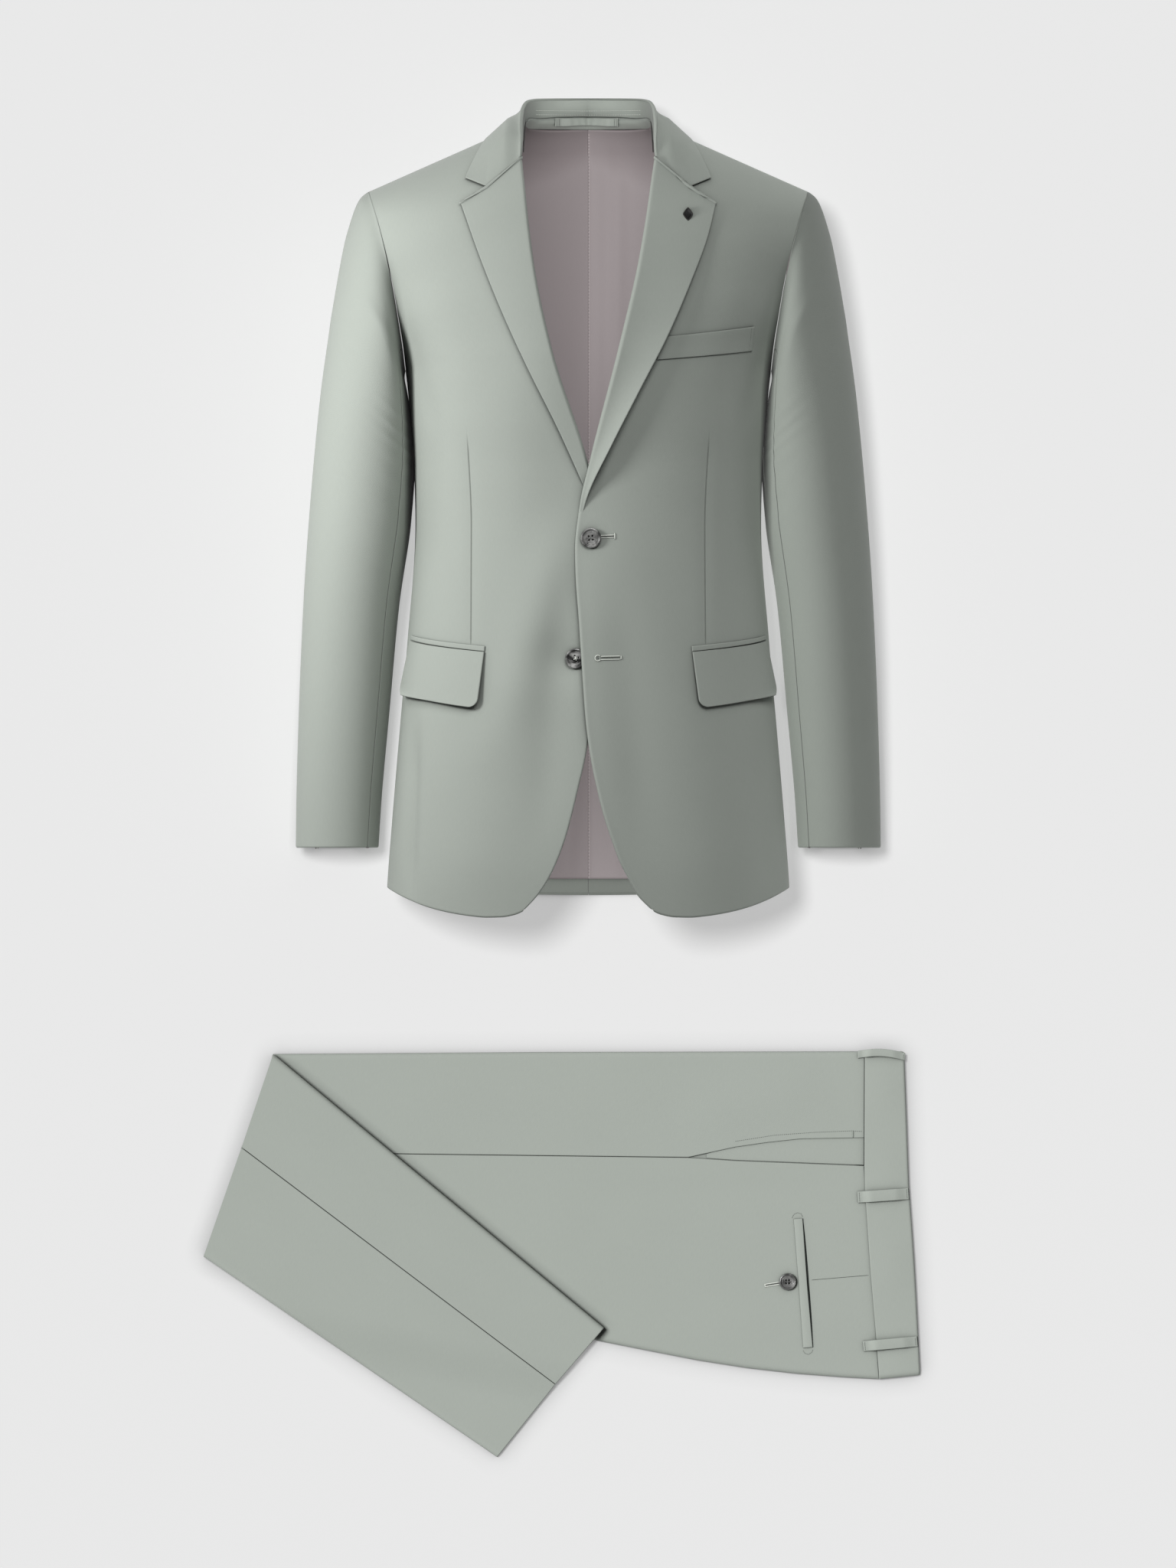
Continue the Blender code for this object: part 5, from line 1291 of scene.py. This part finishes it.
bound_hole("buttonhole_upper", *UPPER_HOLE, lambda x, y: front_height(x, y, 1, 0.0), 0.0)
bound_hole("buttonhole_lower", *LOWER_HOLE, lambda x, y: front_height(x, y, 1, 0.0), 2.7, bar=1.9, gap=1.5)

pin_metal = plain_material("dark_enamel", (0.012, 0.012, 0.012, 1.0), 0.35)
pin_rim = plain_material("pin_rim", (0.10, 0.10, 0.095, 1.0), 0.4, 1.0)
pin_z = float(front_height(*PIN_CENTRE, 1, PIN_LIFT))
pin_verts = []
for share, rise in PIN_PROFILE:
    for k in range(PIN_POINTS):
        a = 2 * math.pi * k / PIN_POINTS
        reach = 1 / (abs(math.cos(a)) ** PIN_POWER + abs(math.sin(a)) ** PIN_POWER) ** (1 / PIN_POWER)
        pin_verts.append(((PIN_CENTRE[0] + JACKET_X + PIN_HALF_WIDTH * share * reach * math.cos(a)) * MM,
                          (PIN_CENTRE[1] + PIN_HALF_HEIGHT * share * reach * math.sin(a)) * MM,
                          (pin_z + rise) * MM))
pin_mesh = bpy.data.meshes.new("lapel_pin")
pin_mesh.from_pydata(pin_verts, [], ring_faces(len(PIN_PROFILE), PIN_POINTS))
pin_rows = np.arange(len(pin_mesh.polygons)) // PIN_POINTS
pin_mesh.polygons.foreach_set("material_index", ((pin_rows >= 1) & (pin_rows < 4)).astype(np.int32))
placed("lapel_pin", pin_mesh, (pin_metal, pin_rim), "jacket")


# Trousers. One leg and the seat lie flat, in a front and a back panel with the side seam between them, and
# the other leg is folded back across them. The panels are turned under at their pressed creases.

FOLD_TOP, FOLD_BOTTOM, FOLD_SEAM = (-278.6, -266.8), (-346.0, -462.5), (-309.2, -357.0)
HEM_TOP, HEM_BOTTOM, HEM_SEAM = (41.2, -531.3), (-62.2, -656.4), (-5.9, -586.1)
SEAT_CORNER = (31.5, -543.2)
STACK_TOP_Z, FOLDED_TOP_Z = 9.2, 18.8
CREASE_RADIUS = 5.0
LAY_GAP = 0.4
TROUSER_WALL = 1.3


def line_points(points):
    """Function giving the points at shares of the way along a run of points, softened at its corners."""
    run = np.array(points, float)
    lengths = np.concatenate([[0.0], np.cumsum(np.linalg.norm(np.diff(run, axis=0), axis=1))])

    def at(shares):
        target = np.asarray(shares) * lengths[-1]
        return np.stack([np.interp(target, lengths, run[:, k]) for k in range(run.shape[1])], axis=-1)
    return at


TOP_CREASE = line_points([FOLD_TOP, (-12.2, -264.9), (292.5, -264.2)])
SIDE_SEAM = line_points([FOLD_SEAM, (-163.2, -363.3), (122.5, -366.8), (167.6, -369.8), (292.0, -374.7)])
SEAT_LINE = line_points([FOLD_BOTTOM, SEAT_CORNER, (84.7, -553.8), (132.1, -563.0), (179.5, -570.4),
                         (226.8, -575.8), (274.2, -579.4), (306.6, -581.1)])
FRONT_LOWER = line_points([FOLD_SEAM, (-163.2, -363.3), (122.5, -366.8), (167.6, -357.0),
                           (198.0, -352.6), (231.3, -349.0), (292.1, -347.9)])
LEG_LOWER = line_points([FOLD_BOTTOM, HEM_BOTTOM])
LEG_UPPER = line_points([FOLD_TOP, HEM_TOP])
LEG_SEAM = line_points([FOLD_SEAM, HEM_SEAM])


def crease_drop(distance):
    """How far a flat panel's face has turned down at a distance from its crease."""
    share = np.clip(1 - distance / CREASE_RADIUS, 0.0, 1.0)
    return CREASE_RADIUS * (1 - np.sqrt(1 - share**2)) * 0.9


def stack_floor(x, y):
    """What the folded leg lies on: the flat part, and beyond its lower edge the surface itself."""
    along = np.array(SEAT_CORNER) - np.array(FOLD_BOTTOM)
    along /= np.hypot(*along)
    beyond = (x - FOLD_BOTTOM[0]) * along[1] - (y - FOLD_BOTTOM[1]) * along[0]
    return (STACK_TOP_Z + LAY_GAP) * (1 - smoothstep(24, 75, beyond))


def pulled(line, dx, dy):
    return lambda shares: line(shares) + np.array([dx, dy])


def flat_panel(name, low, high, top, creased=(), sewn=(), floor=None, length=620, span=110, drape=(),
               wall=TROUSER_WALL):
    """A panel of the trousers between two lines, turned down along its creased and sewn sides."""
    columns = ticks(length, 4.0, [0, 1])
    rows = ticks(span, 3.0, [0, 1])[:, None]
    start, end = low(columns), high(columns)
    plan = blend(start, end, rows[..., None])
    width = np.linalg.norm(end - start, axis=-1)
    x, y = plan[..., 0], plan[..., 1]
    z = top + drape_height(x, y, drape)
    if "low" in creased:
        z -= crease_drop(rows * width)
    if "high" in creased:
        z -= crease_drop((1 - rows) * width)
    points = stacked(x, y, z + (floor(x, y) if floor is not None else 0.0))
    if sewn:
        points = turned(points, sewn, 0.9)
    cloth(name, points, wall, (suiting, suiting), garment="trousers")


TROUSER_DRAPE = [Drape(*row) for row in (
    (-150, -300, 60, -320, 34, 0.7),
    (130, -330, 240, -300, 24, 0.8),
    (-40, -440, 180, -470, 40, 0.9),
    (60, -400, 230, -398, 14, -0.5),
    (150, -520, 280, -540, 20, 0.7),
)]
LEG_DRAPE = [Drape(*row) for row in (
    (-290, -330, -60, -470, 22, 0.8),
    (-230, -420, -20, -600, 26, 0.9),
    (-300, -420, -180, -500, 16, 0.5),
)]
SEAM_SHARE = SEAM / 2
flat_panel("trouser_front", pulled(FRONT_LOWER, 0, SEAM_SHARE), TOP_CREASE, STACK_TOP_Z, creased=["high"],
           sewn=["first_row"], drape=TROUSER_DRAPE)
flat_panel("trouser_back", SEAT_LINE, pulled(SIDE_SEAM, 0, -SEAM_SHARE), STACK_TOP_Z, creased=["low"],
           sewn=["last_row"], span=200, drape=TROUSER_DRAPE)
LEG_TOP = FOLDED_TOP_Z - STACK_TOP_Z - LAY_GAP
flat_panel("folded_leg_upper", pulled(LEG_SEAM, 0.08, 0.12), LEG_UPPER, LEG_TOP, creased=["high"],
           sewn=["first_row", "last_column"], floor=stack_floor, length=420, drape=LEG_DRAPE)
flat_panel("folded_leg_lower", LEG_LOWER, pulled(LEG_SEAM, -0.08, -0.12), LEG_TOP, creased=["low"],
           sewn=["last_row", "last_column"], floor=stack_floor, length=380, drape=LEG_DRAPE)
flat_panel("front_pocket_facing", line_points([(140.0, -367.2), (167.6, -369.2), (292.0, -374.0)]),
           line_points([(140.0, -363.4), (167.6, -355.6), (198.0, -351.2), (231.3, -347.6), (292.1, -346.5)]),
           STACK_TOP_Z - 1.2, length=150, span=27, wall=1.0)


def plan_between(lines, columns, shares):
    """Plan grid whose rows run between each line and the next, at the given shares of the way."""
    rows = [blend(low(columns), high(columns), share)
            for low, high in zip(lines, lines[1:]) for share in shares]
    return np.array(rows + [lines[-1](columns)])


LAYER_EDGES = [     # height, and how far the edge lies in: two folded layers and the start of the next
    (0.0, 0.7), (0.25, 0.2), (0.7, 0.0), (1.15, 0.2), (1.42, 0.9), (1.55, 1.4), (1.7, 0.9), (1.95, 0.25),
    (2.4, 0.05), (2.85, 0.25), (3.15, 0.9), (3.3, 2.7),
]


def layer_stack(name, lines, columns, shares, height, floor=None):
    """The layers below a flat panel as one closed form, with a rounded fold for each layer round its edge."""
    levels = LAYER_EDGES + [(height - 1.7, 3.4), (height, 9.0)]
    plan = plan_between(lines, columns, shares)
    last_row, last_column = plan.shape[0] - 1, plan.shape[1] - 1
    rim = [(0, j) for j in range(last_column)] + [(i, last_column) for i in range(last_row)]
    rim += [(last_row, j) for j in range(last_column, 0, -1)] + [(i, 0) for i in range(last_row, 0, -1)]
    verts, covers = [], []

    def add(i, j, level):
        place = plan[i, j].copy()
        if i in (0, last_row) or j in (0, last_column):
            inner = plan[min(max(i, 1), last_row - 1), min(max(j, 1), last_column - 1)]
            place += unit((inner - place)[None])[0] * level[1]
        base = float(floor(plan[i, j, 0], plan[i, j, 1])) if floor is not None else 0.0
        verts.append((place[0] * MM, place[1] * MM, (base + level[0]) * MM))
        return len(verts) - 1

    for level in (levels[0], levels[-1]):
        covers.append([[add(i, j, level) for j in range(last_column + 1)] for i in range(last_row + 1)])
    loops = [[covers[0][i][j] for i, j in rim]]
    loops += [[add(i, j, level) for i, j in rim] for level in levels[1:-1]]
    loops.append([covers[1][i][j] for i, j in rim])
    faces = []
    for cover, turn in zip(covers, (-1, 1)):
        faces += [(cover[i][j], cover[i][j + 1], cover[i + 1][j + 1], cover[i + 1][j])[::turn]
                  for i in range(last_row) for j in range(last_column)]
    for below, above in zip(loops, loops[1:]):
        faces += [(below[k], below[(k + 1) % len(rim)], above[(k + 1) % len(rim)], above[k])
                  for k in range(len(rim))]
    mesh = bpy.data.meshes.new(name)
    mesh.from_pydata(verts, [], faces)
    grain = mesh.uv_layers.new(name="grain")
    flat = np.array(verts)[:, :2] + np.array(verts)[:, 2:]
    corner = np.zeros(len(mesh.loops), np.int32)
    mesh.loops.foreach_get("vertex_index", corner)
    grain.data.foreach_set("uv", flat[corner].reshape(-1))
    mesh.shade_smooth()
    piece = placed(name, mesh, [suiting], "trousers")
    across, along = plan[1:-1, 1:] - plan[1:-1, :-1], plan[1:, 1:-1] - plan[:-1, 1:-1]
    width, length = np.linalg.norm(across, axis=-1).sum(axis=1), np.linalg.norm(along, axis=-1).sum(axis=0)
    flat = sorted((width.max() * MM, length.max() * MM))


STACK_COLUMNS = np.linspace(0, 1, 34)
layer_stack("trouser_hidden_layers", [SEAT_LINE, SIDE_SEAM, TOP_CREASE], STACK_COLUMNS, [0, 0.5],
            STACK_TOP_Z - 2.1)
layer_stack("folded_leg_hidden_layers", [LEG_LOWER, LEG_SEAM, LEG_UPPER], STACK_COLUMNS, [0, 0.3, 0.65],
            LEG_TOP - 2.3, floor=stack_floor)


# Pocket edge, darts and seams of the trousers, sewn in matching thread: a row of stitches along the slanted
# front pocket with a bar tack at its end, and the back dart, which is closed and pressed flat; its line is a
# dark tube half sunk in the cloth, painted shade of the dart's fold.

POCKET_STITCH_LINE = [(167.6, -351.3), (205.9, -345.3), (243.8, -342.6), (280.8, -341.1), (291.0, -341.8)]
BAR_TACK = [(281.6, -340.8), (281.6, -347.6)]
BACK_DART = [(241.0, -485.3), (297.0, -480.6)]


def trouser_height(x, y):
    return STACK_TOP_Z + float(drape_height(np.array(x), np.array(y), TROUSER_DRAPE))


def laid_run(points, rise, count=60):
    line = line_points(points)(np.linspace(0, 1, count))
    return np.array([(x, y, trouser_height(x, y) + rise) for x, y in line])


thread_runs("front_pocket_stitches", stitches_along(laid_run(POCKET_STITCH_LINE, 0.05), 1.9, 1.2, 0.12), 0.2,
            dark_thread_and_painted_shade, "trousers")
thread_runs("front_pocket_bar_tack", [laid_run(BAR_TACK, 0.3, 8)], 0.55, sage_thread, "trousers")
# Painted shade: a dark tube half sunk along the back dart, where its fold's shadow falls.
thread_runs("trouser_back_dart_painted_shade", [laid_run(BACK_DART, -0.08, 30)], 0.28, dark_thread_and_painted_shade, "trousers")


# Waistband. A stiffened band of two layers, seamed to the trousers and turned over at its top edge, with
# three belt loops, each a narrow strap stitched below the band and again at its top.

BAND_TOP_Z, BAND_WALL = 11.2, 2.6
BAND_LENGTH, BAND_WIDTH = 315.0, 40.0
BELT_LOOP_WALL = 1.5
BAND_INNER = line_points([(306.9, -581.2), (302.9, -529.8), (298.1, -473.6), (293.2, -400.0),
                          (292.4, -374.8), (292.9, -264.2)])
BAND_OUTER = line_points([(346.9, -577.2), (341.0, -466.2), (335.8, -392.6), (331.6, -274.5),
                          (331.0, -264.2)])
BeltLoop = namedtuple("BeltLoop", "name start_x start_y end_x end_y width arch")
BELT_LOOPS = [BeltLoop(*row) for row in (
    ("belt_loop_front", 286.2, -267.4, 332.0, -269.5, 7.6, 3.0),
    ("belt_loop_side", 286.1, -405.2, 335.4, -401.8, 11.4, 0.0),
    ("belt_loop_back", 291.4, -549.2, 343.8, -544.4, 10.4, 0.0),
)]

rows = ticks(BAND_LENGTH, 3.0, [0, 1])[:, None]
columns = ticks(BAND_WIDTH, 1.6, [0, 1])[None]
plan = blend(BAND_INNER(rows), BAND_OUTER(rows), columns[..., None])
end_drop = crease_drop(np.minimum(rows, 1 - rows) * BAND_LENGTH)
belly = 0.5 * np.sin(math.pi * columns) + 0.25 * np.sin(rows * 23.0) * np.sin(math.pi * columns)
band = stacked(plan[..., 0], plan[..., 1], BAND_TOP_Z - end_drop + belly)
band = turned(band, ["first_column"], 0.9)
band = turned(band, ["last_column"], 2.4)
cloth("waistband", band, BAND_WALL, (suiting, suiting), garment="trousers")
layer_stack("waistband_hidden_layers", [pulled(BAND_INNER, 0.8, 0.0), BAND_OUTER],
            np.linspace(0.008, 0.992, 20), [0, 0.5], BAND_TOP_Z - BAND_WALL - 1.0)


def belt_loop(row):
    """A strap that lies over the waistband, loose between its two sewn ends."""
    start, end = np.array([row.start_x, row.start_y]), np.array([row.end_x, row.end_y])
    along = unit((end - start)[None])[0]
    across = np.array([-along[1], along[0]])
    length = float(np.hypot(*(end - start)))
    u = ticks(length, 1.2, [0, 1])[None]
    v = ticks(row.width, 0.8, [0, 1])[:, None]
    bow = row.arch * np.sin(math.pi * u)
    x, y = [start[k] + along[k] * u * length + across[k] * ((v - 0.5) * row.width + bow) for k in (0, 1)]
    loose = 2.1 * smoothstep(0.05, 0.3, u) * (1 - smoothstep(0.72, 0.97, u))
    z = blend(STACK_TOP_Z, BAND_TOP_Z, smoothstep(0.10, 0.22, u)) + 1.9 + loose
    strap = stacked(x, y, z + 0.35 * (1 - (2 * v - 1) ** 2))
    strap = turned(strap, ALL_EDGES, 0.8)
    cloth(row.name, strap, BELT_LOOP_WALL, (suiting, suiting), garment="trousers")
    ends = []
    for share in ((0.965,) if row.arch else (0.035, 0.965)):
        middle = start + along * length * share
        line = np.array([middle + across * t for t in np.linspace(-0.4, 0.4, 7) * row.width])
        line = on_surface(strap, line[:, 0], line[:, 1]) + np.array([0, 0, 0.1])
        ends += stitches_along(line, 1.3, 0.9, 0.1)
    thread_runs(row.name + "_stitches", ends, 0.2, dark_thread_and_painted_shade, "trousers")


for row in BELT_LOOPS:
    belt_loop(row)


# Back pocket. A single-jetted slit with a half-moon tack of thread at each end, closed by a horn button
# that passes through a worked buttonhole. The slit's opening is a near-black sheet, painted shade.

JET_LEFT = line_points([(233.3, -551.0), (228.9, -489.0), (224.1, -426.2)])
JET_RIGHT = line_points([(242.8, -550.2), (237.4, -489.0), (233.0, -425.5)])
POCKET_BUTTON_CENTRE = (218.6, -486.9)
POCKET_HOLE = ((210.9, -488.2), (196.7, -490.5))
JET_TACKS = [[(222.6, -425.6), (224.4, -421.8), (228.2, -420.2), (231.6, -421.4), (233.4, -425.0)],
             [(233.2, -553.2), (235.2, -556.2), (238.4, -557.2), (241.6, -555.4), (243.2, -552.0)]]

# Painted shade: a near-black cloth sheet lies in the slit's opening, where its shadow falls.
pocket_painted_shade = woven_material("pocket_opening_painted_shade", (0.035, 0.04, 0.036, 1.0), 0.55, 0.1, 0.03, 0.05, 0.0)
rows = ticks(125, 2.0, [0, 1])[:, None]
columns = ticks(9.2, 0.7, [0, 1])[None]
plan = blend(JET_LEFT(rows), JET_RIGHT(rows), columns[..., None])
under_z = STACK_TOP_Z + drape_height(plan[..., 0], plan[..., 1], TROUSER_DRAPE)
jet = stacked(plan[..., 0], plan[..., 1], under_z + 1.1 + 0.35 * np.sin(math.pi * columns) + 0.5 * columns)
jet = turned(jet, ALL_EDGES, 0.8)
cloth("back_pocket_jet", jet, 1.0, (suiting, suiting), garment="trousers")
SLIT_POINTS = 50
gape = 0.25 + 1.5 * np.sin(math.pi * np.linspace(0, 1, SLIT_POINTS)) ** 0.7
slit = JET_RIGHT(np.linspace(0.01, 0.99, SLIT_POINTS))
slit_x = slit[:, None, 0] + np.stack([np.full(SLIT_POINTS, -0.6), gape], axis=-1)
slit_y = np.broadcast_to(slit[:, None, 1], slit_x.shape)
slit_z = STACK_TOP_Z + drape_height(slit_x, slit_y, TROUSER_DRAPE) + 0.12
cloth("back_pocket_slit", stacked(slit_x, slit_y, slit_z), 0.1, (pocket_painted_shade, pocket_painted_shade),
      garment="trousers", replaces=False)
tack_runs = []
for tack in JET_TACKS:
    tack_runs += stitches_along(laid_run(tack, 0.1, 30), 1.25, 0.8, 0.1)
thread_runs("back_pocket_tacks", tack_runs, 0.22, dark_thread_and_painted_shade, "trousers")
button("back_pocket_button", POCKET_BUTTON_CENTRE, trouser_height(*POCKET_BUTTON_CENTRE) + 0.5,
       POCKET_BUTTON, 0.8, garment="trousers", material=grey_horn)
bound_hole("back_pocket_hole", *POCKET_HOLE, trouser_height, 0.0, garment="trousers", bar=1.9)
